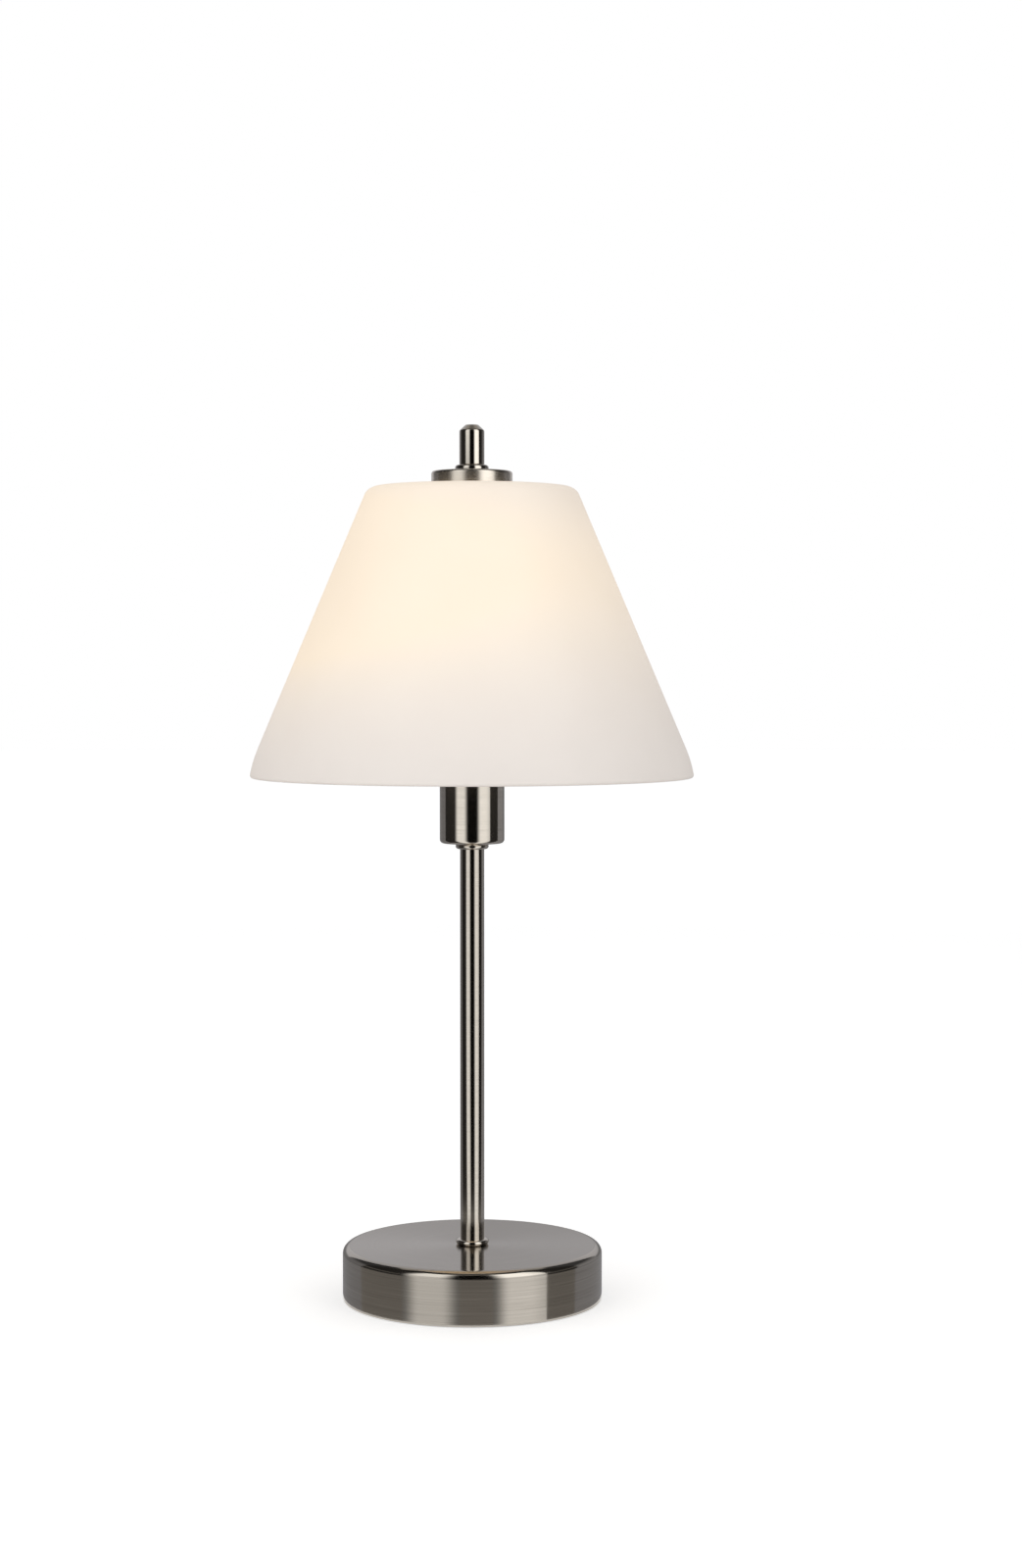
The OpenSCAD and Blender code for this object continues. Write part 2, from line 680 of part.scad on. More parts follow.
// Shade
rim_r = glass_t / 2;    // of the fire-polished rim
cone = [shade_r - shade_lip_r - shade_top_r, shade_h - rim_r];
slope = atan(cone[0] / cone[1]) + asin(shade_lip_r / norm(cone));   // of the side, from upright

// The wall's section: the rounded rim, a lip that turns upright at the rim, the side and the top edge,
// and back down inside. The arcs are concentric, so the wall is even.
module shade_section() {
    lip = [shade_r - shade_lip_r, shade_rim + rim_r];
    side_foot = lip + shade_lip_r * [cos(slope), sin(slope)];
    edge_z = shade_top - shade_edge_r;
    side_h = edge_z + shade_edge_r * sin(slope) - side_foot[1];
    edge = [side_foot[0] - side_h * tan(slope) - shade_edge_r * cos(slope), edge_z];
    polygon(concat(
        arc([shade_r - rim_r, lip[1]], rim_r, 180, 360),
        arc(lip, shade_lip_r, slope / 6, slope),
        arc(edge, shade_edge_r, slope, 90),
        [[shade_hole_r, shade_top], [shade_hole_r, shade_top - glass_t]],
        arc(edge, shade_edge_r - glass_t, 90, slope),
        arc(lip, shade_lip_r - glass_t, slope, slope / 6)));
}

module glass_shade() {
    color([1, 0.97, 0.9]) rotate_extrude() shade_section();
}

module top_gasket() {
    color([0.95, 0.95, 0.95]) translate([0, 0, shade_top]) ring(gasket_r, gasket_bore_r, gasket_t);
}

module shade_cap() {
    r = cap_d / 2;
    color("silver") translate([0, 0, cap_z])
        turned([[r - cap_t, 0, 0], [r, 0, 0.3], [r, cap_h, cap_edge_r], [stud_r + slip, cap_h, 0],
            [stud_r + slip, cap_h - cap_t, 0], [r - cap_t, cap_h - cap_t, cap_edge_r - cap_t]]);
}

module finial_collar() {
    color("silver") translate([0, 0, cap_top])
        turned([[neck_journal_r + snug, 0, 0], [finial_collar_r, 0, 0.8],
            [finial_collar_r, finial_collar_h, 1.3], [neck_journal_r + snug, finial_collar_h, 0]]);
}

module finial() {
    foot = finial_collar_h + snug;
    end = finial_collar_h + finial_h;
    bore_h = stud_in_finial + 1.5;
    color("silver") translate([0, 0, cap_top])
        turned([[stud_r, 2 * snug, 0], [neck_journal_r, 2 * snug, 0], [neck_journal_r, foot, 0], [finial_r, foot, 0.4],
            [finial_r, end - finial_bevel, 1.2], [finial_tip_r, end, 0.7], [0, end, 0],
            [0, bore_h, 0], [stud_r, bore_h, 0]]);
}

foot_pad();
base_plate();
plate_screws();
base_shell();
base_weight();
cord_grommet();
dimmer_tray();
dimmer_cover();
dimmer_board();
dimmer_components();
dimmer_screws();
touch_terminal();
touch_lead();
lock_washer();
base_nut();
threaded_rod();
foot_collar();
stem_tube();
top_collar();
socket_cup();
harp_saddle();
cup_nut();
live_lead();
neutral_lead();
holder_cap();
holder_insert();
terminal_screws();
screw_contact();
centre_contact();
holder_skirt();
harp_wire();
harp_stud();
seat_plate();
seat_washer();
glass_shade();
top_gasket();
shade_cap();
finial_collar();
finial();
bulb_contact();
bulb_insulator();
bulb_cap();
bulb_stem();
bulb_filament();
bulb_glass();
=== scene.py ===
"""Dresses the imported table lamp: satin nickel turned on the lathe, an opal glass cone lit from
inside, and the lampholder, bulb, harp and dimmer that the cone and the base cover."""

import json
import math

import bmesh
import bpy
from mathutils import Matrix, Vector

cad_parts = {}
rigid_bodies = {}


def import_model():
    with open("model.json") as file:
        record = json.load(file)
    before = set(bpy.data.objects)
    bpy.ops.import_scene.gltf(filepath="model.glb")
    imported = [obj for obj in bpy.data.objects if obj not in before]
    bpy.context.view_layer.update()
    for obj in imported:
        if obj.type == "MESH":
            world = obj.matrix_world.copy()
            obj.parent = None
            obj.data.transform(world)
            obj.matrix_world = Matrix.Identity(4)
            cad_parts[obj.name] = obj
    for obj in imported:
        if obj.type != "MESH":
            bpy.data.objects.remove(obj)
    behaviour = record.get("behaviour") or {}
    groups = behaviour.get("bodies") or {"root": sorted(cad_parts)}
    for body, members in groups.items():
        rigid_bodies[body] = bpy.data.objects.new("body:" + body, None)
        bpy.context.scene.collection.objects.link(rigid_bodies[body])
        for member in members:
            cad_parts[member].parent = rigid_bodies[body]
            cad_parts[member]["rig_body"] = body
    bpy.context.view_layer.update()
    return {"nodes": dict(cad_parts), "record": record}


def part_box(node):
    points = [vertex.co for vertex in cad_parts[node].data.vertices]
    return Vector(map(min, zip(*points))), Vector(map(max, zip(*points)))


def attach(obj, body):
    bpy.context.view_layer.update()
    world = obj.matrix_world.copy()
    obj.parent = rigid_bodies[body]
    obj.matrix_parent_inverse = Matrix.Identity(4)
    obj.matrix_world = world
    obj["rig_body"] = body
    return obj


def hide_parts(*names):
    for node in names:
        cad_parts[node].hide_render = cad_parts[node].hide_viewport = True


bl_info = {
    "name": "Harp Table Lamp",
    "version": (1, 0, 0),
    "blender": (4, 5, 0),
    "location": "3D View > Sidebar > Lamp",
    "description": "Builds a table lamp with a glass shade around its packed solids",
    "category": "Add Mesh",
}

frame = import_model()
SLOTS = {part["node"]: part["material_slot"] for part in frame["record"]["subparts"]}

MM = 0.001
AXIS = Vector((0, 0, 1))
ROD_HOLE = 5.2 * MM  # radius of the holes that the threaded rod passes
STUD_HOLE = 3.2 * MM  # radius of the holes that the harp's stud passes
FIT = 0.05 * MM  # room between a turned piece and the one that it stands on or in
INLET_HEIGHT = 9.5 * MM  # middle of the cord's inlet above the table
BULB_PITCH = 2.82 * MM  # pitch of a small screw cap's thread
# Radii of the cards' edge beside the base, of their bend and of their wall, and the wall's height
CARD_RIM, CARD_BEND, CARD_WALL, CARD_TOP = 0.066, 0.3, 2.0, 3.0


def reach(name):
    """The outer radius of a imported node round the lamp's axis, where its facets reach least."""
    return min(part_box(name)[1].x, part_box(name)[1].y)


def foot(name):
    """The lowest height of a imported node."""
    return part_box(name)[0].z


def head(name):
    """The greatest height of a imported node."""
    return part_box(name)[1].z


def span(name):
    """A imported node's lowest height, its greatest height and its outer radius."""
    return foot(name), head(name), reach(name)


def tint(code):
    """An sRGB hex code as a linear colour with alpha."""
    parts = [int(code[i : i + 2], 16) / 255 for i in (1, 3, 5)]
    return (*[p / 12.92 if p <= 0.04045 else ((p + 0.055) / 1.055) ** 2.4 for p in parts], 1.0)


def number(name, description, default, **limits):
    """A number that a user may change."""
    return bpy.props.FloatProperty(name=name, description=description, default=default, **limits)


def length(name, description, default):
    """A size in metres that a user may change."""
    return number(name, description, default, min=0.0, unit="LENGTH", precision=4)


def colour(name, description, code):
    """A colour that a user may change, given as its sRGB hex code."""
    return bpy.props.FloatVectorProperty(
        name=name, description=description, default=tint(code), size=4, min=0.0, max=1.0, subtype="COLOR"
    )


class LampSizes(bpy.types.PropertyGroup):
    """Sizes of the lamp's turned, drawn and blown pieces."""

    base_radius: length("Base radius", "Outside of the base cover", reach("base_shell"))
    base_height: length("Base height", "Top face of the base above the table", head("base_shell"))
    base_rounding: length("Base edge", "Rounding of the cover's top edge", 4 * MM)
    stem_radius: length("Stem radius", "Outside of the tube", reach("stem_tube"))
    collar_radius: length("Collar radius", "Outside of the tube's two collars", reach("foot_collar"))
    cup_radius: length("Cup radius", "Outside of the cup round the lampholder", reach("socket_cup"))
    cup_foot: length("Cup foot", "Underside of the cup above the table", foot("socket_cup"))
    cup_head: length("Cup rim", "Rim of the cup above the table", head("socket_cup"))
    shade_radius: length("Shade radius", "Outside of the glass at its rim", reach("glass_shade"))
    shade_rim: length("Shade rim", "Rim of the glass above the table", foot("glass_shade"))
    shade_top: length("Shade top", "Flat top of the glass above the table", head("glass_shade"))
    cone_top: length("Cone top", "Radius at which the cone would meet the flat top", 51.25 * MM)
    shade_edge: length("Shade edge", "Rounding of the glass between the cone and the flat top", 6 * MM)
    shade_lip: length("Shade lip", "Radius of the packed wall's curve at its rim", 19 * MM)
    glass: length("Glass", "Thickness of the blown glass", 3 * MM)
    cap_radius: length("Cap radius", "Outside of the pressed cap", reach("shade_cap"))
    knob_radius: length("Knob radius", "Outside of the finial", reach("finial"))
    harp_wire: length("Harp wire", "Radius of the harp's wire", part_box("harp_wire")[1].y)
    harp_shoulder: length(
        "Harp shoulder", "Shoulder of the harp's block above the table", foot("seat_plate") + 2.4 * MM
    )


class LampColours(bpy.types.PropertyGroup):
    """Colours of the lamp's finishes."""

    nickel: colour("Nickel", "Satin nickel between the brush lines", "#cbc5bd")
    nickel_line: colour("Nickel lines", "Satin nickel in the brush lines", "#b3ada5")
    glass_low: colour("Glass", "Opal glass where little of the bulb's light comes through", "#e8e3df")
    # Painted light: the shade emits these two colours in place of the bulb's light shining through it.
    painted_glow_far: colour("Far glow", "Light through the glass far from the bulb", "#fff1e8")
    painted_glow_near: colour("Glow", "Light through the glass close to the bulb", "#ffdda4")


class LampStage(bpy.types.PropertyGroup):
    """The camera and the light."""

    eye_distance: length("Camera distance", "From the lamp's axis to the camera", 1.367)
    eye_height: length("Camera height", "Above the table", 0.3153)
    lens: number("Lens", "Focal length in millimetres", 63.48, min=0.0, max=200.0)
    pitch: number("Pitch", "How far the camera looks down", math.radians(2.471), subtype="ANGLE")
    yaw: number("Yaw", "How far the camera looks to the right", math.radians(0.807), subtype="ANGLE")
    ambient: number("Ambient", "Even light from all round", 0.62, min=0.0, max=10.0)
    panel_power: number("Panel power", "Watts of a softbox for each square metre", 3.5, min=0.0, max=100.0)


def sizes():
    """The sizes that the lamp is built to."""
    return bpy.context.scene.lamp_sizes


def colours():
    """The colours that the lamp is finished in."""
    return bpy.context.scene.lamp_colours


# Mesh making


def rounded_chain(bm, corners, closed):
    """A chain of edges through corners of (radius, height, rounding), in the XZ plane."""
    verts = [bm.verts.new((r, 0, z)) for r, z, _ in corners]
    pairs = list(zip(verts, verts[1:])) + ([(verts[-1], verts[0])] if closed else [])
    for pair in pairs:
        bm.edges.new(pair)
    for i, (vert, (r, z, rounding)) in enumerate(zip(verts, corners)):
        if rounding <= 0:
            continue
        before, after = corners[i - 1], corners[(i + 1) % len(corners)]
        a = Vector((before[0] - r, before[1] - z)).normalized()
        b = Vector((after[0] - r, after[1] - z)).normalized()
        half = a.angle(b) / 2
        segments = max(3, round((math.pi - 2 * half) / math.radians(11)))
        bmesh.ops.bevel(
            bm, geom=[vert], offset=rounding / math.tan(half), offset_type="OFFSET", affect="VERTICES",
            segments=segments, profile=0.5, material=-1,
        )


def spun(bm, geom, angle, steps, centre=(0, 0, 0), axis=AXIS, rise=0.0, merge=False):
    """Spins geometry round a centre, rising a little at each step. Returns what the last step made."""
    made = bmesh.ops.spin(
        bm, geom=geom, cent=centre, axis=axis, dvec=(0, 0, rise), angle=angle, steps=steps,
        use_merge=merge, use_duplicate=False,
    )
    return made["geom_last"]


def turned_mesh(corners, closed=True, steps=128):
    """A bmesh turned on the lamp's axis from corners of (radius, height, rounding)."""
    bm = bmesh.new()
    rounded_chain(bm, corners, closed)
    spun(bm, bm.verts[:] + bm.edges[:], math.tau, steps, merge=True)
    bmesh.ops.remove_doubles(bm, verts=bm.verts[:], dist=1e-6)
    bmesh.ops.dissolve_degenerate(bm, edges=bm.edges[:], dist=1e-7)
    bmesh.ops.recalc_face_normals(bm, faces=bm.faces[:])
    return bm


def last_ring(geom):
    """The edges of an extrusion's or a spin's last ring."""
    return [part for part in geom if isinstance(part, bmesh.types.BMEdge)]


def drawn_mesh(radius, start, heading, moves, sides=24):
    """A bmesh of round wire. A move is a straight run's vector, or a bend's centre, axis and degrees."""
    bm = bmesh.new()
    aim = Matrix.Translation(start) @ Vector(heading).to_track_quat("Z", "Y").to_matrix().to_4x4()
    bmesh.ops.create_circle(bm, cap_ends=False, radius=radius, segments=sides, matrix=aim)
    ring = bm.edges[:]
    for move in moves:
        if isinstance(move, Vector):
            made = bmesh.ops.extrude_edge_only(bm, edges=ring)["geom"]
            verts = [part for part in made if isinstance(part, bmesh.types.BMVert)]
            ring = [edge for edge in last_ring(made) if all(v in verts for v in edge.verts)]
            bmesh.ops.translate(bm, verts=verts, vec=move)
            continue
        centre, axis, angle = move
        verts = list({v for edge in ring for v in edge.verts})
        steps = max(6, round(abs(angle) / 6))
        ring = last_ring(spun(bm, [*verts, *ring], math.radians(angle), steps, centre, axis))
    return bm


def add_thread(bm, root, crest, pitch, low, turns, steps=40):
    """Winds a rounded thread onto a turned bmesh, from a height up by a number of turns."""
    half = pitch / 2
    buried = root - pitch / 8
    outline = [(buried, 0), (root, 0), (crest, 0.62 * half), (crest, 1.38 * half)]
    outline += [(root, pitch), (buried, pitch)]
    # A turn is a little less high than the pitch, so it doesn't touch the next one.
    spots = [bm.verts.new((r, 0, low + 0.98 * z)) for r, z in outline]
    edges = [bm.edges.new(pair) for pair in zip(spots, spots[1:] + spots[:1])]
    end = spun(bm, [*spots, *edges], math.tau * turns, round(steps * turns), rise=pitch / steps)
    for ring in (edges, last_ring(end)):
        bmesh.ops.edgeloop_fill(bm, edges=ring)
    bmesh.ops.recalc_face_normals(bm, faces=bm.faces[:])


def piece(name, bm, body, stands_for, *finishes):
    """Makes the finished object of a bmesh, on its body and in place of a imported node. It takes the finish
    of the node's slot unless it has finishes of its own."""
    crease = math.radians(32)
    for face in bm.faces:
        face.smooth = True
    for edge in bm.edges:
        if len(edge.link_faces) != 2 or edge.calc_face_angle(0) > crease:
            edge.smooth = False
    mesh = bpy.data.meshes.new(name)
    bm.to_mesh(mesh)
    bm.free()
    made = bpy.data.objects.new(name, mesh)
    bpy.context.scene.collection.objects.link(made)
    for finish in finishes or [finish_of(SLOTS[stands_for])]:
        mesh.materials.append(finish)
    even = made.modifiers.new("Even shading", "WEIGHTED_NORMAL")
    even.keep_sharp = True
    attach(made, body)
    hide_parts(stands_for)


# Finishes


def node(tree, kind, sockets=(), **settings):
    """Adds one node with its settings, its links and its plain values. A node given as a value is linked
    by the first of its outputs that is in use."""
    made = tree.nodes.new(kind)
    for name, value in settings.items():
        setattr(made, name, value)
    for socket, value in dict(sockets).items():
        if isinstance(value, bpy.types.Node):
            value = next(output for output in value.outputs if output.enabled)
        if isinstance(value, bpy.types.NodeSocket):
            tree.links.new(value, made.inputs[socket])
        else:
            made.inputs[socket].default_value = value
    return made


def shade_of(linear, level):
    """A linear colour made darker or lighter."""
    return (*[min(c * level, 0.97) for c in linear[:3]], 1)


def blank(name):
    """A new material's tree with nothing in it."""
    material = bpy.data.materials.new(name)
    material.use_nodes = True
    material.node_tree.nodes.clear()
    return material, material.node_tree


def round_place(tree):
    """A point's way out from the lamp's axis, its radius and its height."""
    place = node(tree, "ShaderNodeTexCoord").outputs["Object"]
    out = node(tree, "ShaderNodeVectorMath", {0: place, 1: (1, 1, 0)}, operation="MULTIPLY")
    radius = node(tree, "ShaderNodeVectorMath", {0: out}, operation="LENGTH")
    return out, radius, node(tree, "ShaderNodeSeparateXYZ", {0: place}).outputs["Z"]


def satin_nickel(name, gap, weight, roughness, stretch, painted_brightness, depth=0.0, flat_from=9.0):
    """Nickel plate brushed round the lamp's axis, with lines a gap apart that come and go along their turn.
    It gives the eye upright bands of light with crisp sides, drawn out across the brush lines. Above the
    height flat_from its face is flat and was finished with a finer belt. Each piece's copy has its nickel
    painted lighter or darker, which paints how bright its reflections look."""
    if name in bpy.data.materials:
        return bpy.data.materials[name]
    material, tree = blank(name)
    out, radius, height = round_place(tree)
    around = node(tree, "ShaderNodeVectorMath", {0: out}, operation="NORMALIZE")
    across = node(tree, "ShaderNodeMath", {0: height, 1: radius}, operation="SUBTRACT")
    # Noise that changes fast across the lines and slowly along them: fine lines, coarse lines, and patches
    # a few lines wide where they show.
    noise = []
    for turns, gaps, detail in ((0.3, 1, 1.5), (0.3, 2.4, 1.5), (4.0, 4, 1.0)):
        along = node(tree, "ShaderNodeVectorMath", {0: around, "Scale": turns}, operation="SCALE")
        count = node(tree, "ShaderNodeMath", {0: across, 1: 1 / (gap * gaps)}, operation="MULTIPLY")
        stack = node(tree, "ShaderNodeCombineXYZ", {"Z": count})
        spot = node(tree, "ShaderNodeVectorMath", {0: along, 1: stack}, operation="ADD")
        noise.append(node(tree, "ShaderNodeTexNoise", {"Vector": spot, "Scale": 1.0, "Detail": detail}))
    mixed = node(tree, "ShaderNodeMix", {0: 0.4, 2: noise[0], 3: noise[1]}, data_type="FLOAT")
    shown = {"From Min": 0.35, "From Max": 0.65, "To Min": 0.1 * weight, "To Max": weight}
    patch = node(tree, "ShaderNodeMapRange", {"Value": noise[2], **shown})
    belt = {"From Min": flat_from, "From Max": flat_from + 2 * MM, "To Min": 1.0, "To Max": 0.3}
    fine = node(tree, "ShaderNodeMapRange", {"Value": height, **belt})
    drawn = node(tree, "ShaderNodeMath", {0: fine, 1: patch}, operation="MULTIPLY")
    mixed = node(tree, "ShaderNodeMix", {0: drawn, 2: 0.5, 3: mixed}, data_type="FLOAT")
    level = node(tree, "ShaderNodeMapRange", {"Value": mixed, "From Min": 0.36, "From Max": 0.64})
    # Painted light: the piece's level makes both tones lighter or darker than the nickel really is.
    tones = {"A": shade_of(colours().nickel_line, painted_brightness), "B": shade_of(colours().nickel, painted_brightness)}
    tone = node(tree, "ShaderNodeMix", {"Factor": level, **tones}, data_type="RGBA")
    spread = {"From Min": 0.3, "From Max": 0.7, "To Min": roughness + 0.05, "To Max": roughness - 0.04}
    rough = node(tree, "ShaderNodeMapRange", {"Value": mixed, **spread})
    bump = node(tree, "ShaderNodeBump", {"Height": mixed, "Strength": 1.0, "Distance": depth})
    round_axis = node(tree, "ShaderNodeTangent", direction_type="RADIAL", axis="Z")
    values = {
        "Base Color": tone, "Metallic": 1.0, "Roughness": rough, "Normal": bump,
        "Anisotropic": stretch, "Anisotropic Rotation": 0.25, "Tangent": round_axis,
    }
    shader = node(tree, "ShaderNodeBsdfPrincipled", values)
    node(tree, "ShaderNodeOutputMaterial", {"Surface": shader})
    return material


def polished_nickel():
    """Nickel plate on the small turned pieces, which are polished before they are plated, so the light in
    them is short and sharp. Their nickel is also painted brighter than plain nickel: a painted highlight."""
    return satin_nickel("nickel_polished", 0.8 * MM, 0.3, roughness=0.09, stretch=0.3, painted_brightness=1.3)


def opal_glass(name, roughness, body, painted_glow_share):
    """Opal glass, acid etched outside and fire bright inside. The bulb's light through it is painted on as a
    glow that the glass emits: warm and strong close to the coil, and low and cool away from it, where the
    room's light on the glass's own white takes over."""
    # Painted light: the glass emits a glow that falls with the cube of the distance from this point by the
    # coil.
    coil, warm_within = (-0.01, 0, 0.331), 0.0795
    material, tree = blank(name)
    place = node(tree, "ShaderNodeTexCoord").outputs["Object"]
    away = node(tree, "ShaderNodeVectorMath", {0: place, 1: coil}, operation="DISTANCE")
    near = node(tree, "ShaderNodeMath", {0: warm_within, 1: away}, operation="DIVIDE")
    light = node(tree, "ShaderNodeMath", {0: near, 1: 3.0}, operation="POWER", use_clamp=True)
    # The gather's thickness wanders by a few hundredths over some 30 mm, and the light with it.
    cloud = node(tree, "ShaderNodeTexNoise", {"Vector": place, "Scale": 30.0, "Detail": 3.0})
    thick = {"Value": cloud, "From Min": 0.3, "From Max": 0.7, "To Min": 0.97, "To Max": 1.0}
    thick = node(tree, "ShaderNodeMapRange", thick)
    mixed = {"Factor": 1.0, "A": body, "B": thick}
    tone = node(tree, "ShaderNodeMix", mixed, data_type="RGBA", blend_type="MULTIPLY")
    hues = {"Factor": light, "A": tuple(colours().painted_glow_far), "B": tuple(colours().painted_glow_near)}
    hue = node(tree, "ShaderNodeMix", hues, data_type="RGBA")
    glow = {"Value": light, "To Min": 0.1 * painted_glow_share, "To Max": 0.4 * painted_glow_share}
    glow = node(tree, "ShaderNodeMapRange", glow)
    # The acid leaves a grain of some 0.4 mm, drawn coarser than the real 0.05 mm so that it shows.
    grain = node(tree, "ShaderNodeTexNoise", {"Vector": place, "Scale": 1 / (0.4 * MM), "Detail": 2.0})
    bump = node(tree, "ShaderNodeBump", {"Height": grain, "Strength": 0.4, "Distance": 0.01 * MM})
    values = {
        "Base Color": tone, "Roughness": roughness, "Normal": bump, "Emission Color": hue,
        "Emission Strength": glow,
    }
    shader = node(tree, "ShaderNodeBsdfPrincipled", values)
    node(tree, "ShaderNodeOutputMaterial", {"Surface": shader})
    return material


def frosted_bulb():
    """Inside-frosted glass of a lit candle bulb: white, and brightest round the coil."""
    coil = (0, 0, 0.322)
    material, tree = blank("bulb_glass_frosted")
    place = node(tree, "ShaderNodeTexCoord").outputs["Object"]
    away = node(tree, "ShaderNodeVectorMath", {0: place, 1: coil}, operation="DISTANCE")
    glow = {"Value": away, "From Min": 0.016, "From Max": 0.045, "To Min": 0.78, "To Max": 0.4}
    glow = node(tree, "ShaderNodeMapRange", glow)
    frost = node(tree, "ShaderNodeTexNoise", {"Vector": place, "Scale": 900.0, "Detail": 2.0})
    rough = node(tree, "ShaderNodeMapRange", {"Value": frost, "To Min": 0.12, "To Max": 0.2})
    values = {
        "Base Color": tint("#a39b8c"), "Roughness": rough, "Emission Color": tint("#ffe9c2"),
        "Emission Strength": glow,
    }
    shader = node(tree, "ShaderNodeBsdfPrincipled", values)
    node(tree, "ShaderNodeOutputMaterial", {"Surface": shader})
    return material


def worked(name, low, high, roughness, grain, depth, metallic=0.0, drawn=1.0, cells=False, more=()):
    """A finish of two tones. Its grain or its cells are so many millimetres wide and deep, and are drawn
    out upwards so many times. More holds further values of the shader."""
    if name in bpy.data.materials:
        return bpy.data.materials[name]
    material, tree = blank(name)
    scale = 1 / (grain * MM)
    place = node(tree, "ShaderNodeTexCoord").outputs["Object"]
    place = node(tree, "ShaderNodeMapping", {"Vector": place, "Scale": (1, 1, 1 / drawn)})
    if cells:
        spots = {"Vector": place, "Scale": scale}
        fine = node(tree, "ShaderNodeTexVoronoi", spots, feature="DISTANCE_TO_EDGE")
        fine = node(tree, "ShaderNodeMapRange", {"Value": fine, "From Max": 0.12})
    else:
        fine = node(tree, "ShaderNodeTexNoise", {"Vector": place, "Scale": scale, "Detail": 2.0})
    cloud = node(tree, "ShaderNodeTexNoise", {"Vector": place, "Scale": 90.0, "Detail": 4.0})
    mixed = node(tree, "ShaderNodeMix", {0: 0.5, 2: fine, 3: cloud}, data_type="FLOAT")
    spread = node(tree, "ShaderNodeMapRange", {"Value": mixed, "From Min": 0.35, "From Max": 0.65})
    tones = {"Factor": spread, "A": tint(low), "B": tint(high)}
    tone = node(tree, "ShaderNodeMix", tones, data_type="RGBA")
    rough = {"From Min": 0.3, "From Max": 0.7, "To Min": roughness * 1.2, "To Max": roughness * 0.85}
    rough = node(tree, "ShaderNodeMapRange", {"Value": mixed, **rough})
    bump = node(tree, "ShaderNodeBump", {"Height": fine, "Strength": 0.6, "Distance": depth * MM})
    values = {"Base Color": tone, "Metallic": metallic, "Roughness": rough, "Normal": bump, **dict(more)}
    shader = node(tree, "ShaderNodeBsdfPrincipled", values)
    node(tree, "ShaderNodeOutputMaterial", {"Surface": shader})
    return material


# The finish of each packed material slot, in the order of worked(): name, low and high tone, roughness,
# grain and depth in millimetres, metallic, drawn, cells and more.
FINISHES = {
    # Bright zinc plate on steel: a cool grey with the blotches of the plating bath.
    "zinc_plate": ("zinc_plate_bright", "#a9adaf", "#d3d5d4", 0.3, 0.6, 0.004, 1.0),
    # Grey iron cast in sand and dipped in black lacquer: dull, with grains of about 1 mm.
    "cast_weight": ("cast_iron_lacquered", "#29292a", "#48484a", 0.6, 1.0, 0.12),
    # Cellular rubber sheet: cells of about 0.7 mm, so nearly no shine.
    "foam_pad": ("foam_rubber", "#19191a", "#2e2e30", 0.9, 0.7, 0.08, 0.0, 1.0, True),
    # Moulded rubber: a soft black with a bloom that dulls it in places.
    "black_rubber": ("rubber_moulded", "#151516", "#262627", 0.5, 0.3, 0.01),
    # Silicone sheet, milky in this thickness, with a wet edge.
    "clear_silicone": ("silicone_sheet", "#d8dad6", "#f1f2ee", 0.25, 0.8, 0.005),
    # Heat-resistant polyester, moulded with a spark-eroded grain that breaks up its shine.
    "white_moulding": ("polyester_moulded", "#e2e1db", "#f4f3ee", 0.42, 0.4, 0.012),
    # Glass-epoxy board: green lacquer, lighter over the copper tracks.
    "circuit_board": ("board_green_lacquer", "#2c7145", "#174a2b", 0.3, 2.2, 0.02, 0.0, 1.0, True),
    # Epoxy cases of the dimmer's parts: black with a fine matt grain.
    "components": ("epoxy_moulded", "#1d1c1c", "#35332f", 0.45, 0.3, 0.008),
    # Rolled brass: a warm yellow with the brown of light tarnish.
    "brass_parts": ("brass_rolled", "#b98f4b", "#e3c27c", 0.27, 0.5, 0.003, 1.0),
    # Extruded PVC: faint lines along the lead.
    "black_insulation": ("pvc_black", "#161617", "#29292a", 0.35, 0.5, 0.01, 0.0, 6.0),
    "brown_insulation": ("pvc_brown", "#4f3019", "#6b462b", 0.35, 0.5, 0.01, 0.0, 6.0),
    "blue_insulation": ("pvc_blue", "#2f5c9b", "#4d7dbb", 0.35, 0.5, 0.01, 0.0, 6.0),
    # Pressed steatite under a thin glaze: cream with pale specks and a wet shine.
    "steatite": ("steatite_glazed", "#e3dccd", "#f3eee3", 0.2, 0.7, 0.012),
    # Tin solder: dull silver, frosted as it froze.
    "solder": ("solder_tin", "#a3a3a1", "#cbcbc9", 0.38, 0.3, 0.006, 1.0),
    # Black glass of a bulb's base: dark violet with a sharp shine.
    "black_vitrite": ("vitrite_black", "#131118", "#211f29", 0.1, 0.9, 0.006),
    # Nickel-plated brass rolled to a screw: bright, with faint draw lines.
    "bulb_metal": ("bulb_cap_nickel", "#c3beb4", "#e3e0da", 0.2, 0.5, 0.003, 1.0),
    # Clear glass of the bulb's mount, with the faint cords of drawn tube.
    "bulb_glass_clear": (
        *("glass_clear_drawn", "#f4f7f7", "#ffffff", 0.03, 2.0, 0.004, 0.0, 5.0, False),
        {"Transmission Weight": 1.0, "IOR": 1.5},
    ),
    # Tungsten coil at work: it glows a warm white.
    "tungsten": (
        *("tungsten_lit", "#8f8a80", "#a8a298", 0.3, 0.2, 0.003, 1.0, 1.0, False),
        {"Emission Color": tint("#ffe0a8"), "Emission Strength": 4.0},
    ),
}


def finish_of(slot):
    """The finish of a packed material slot."""
    return worked(*FINISHES[slot])


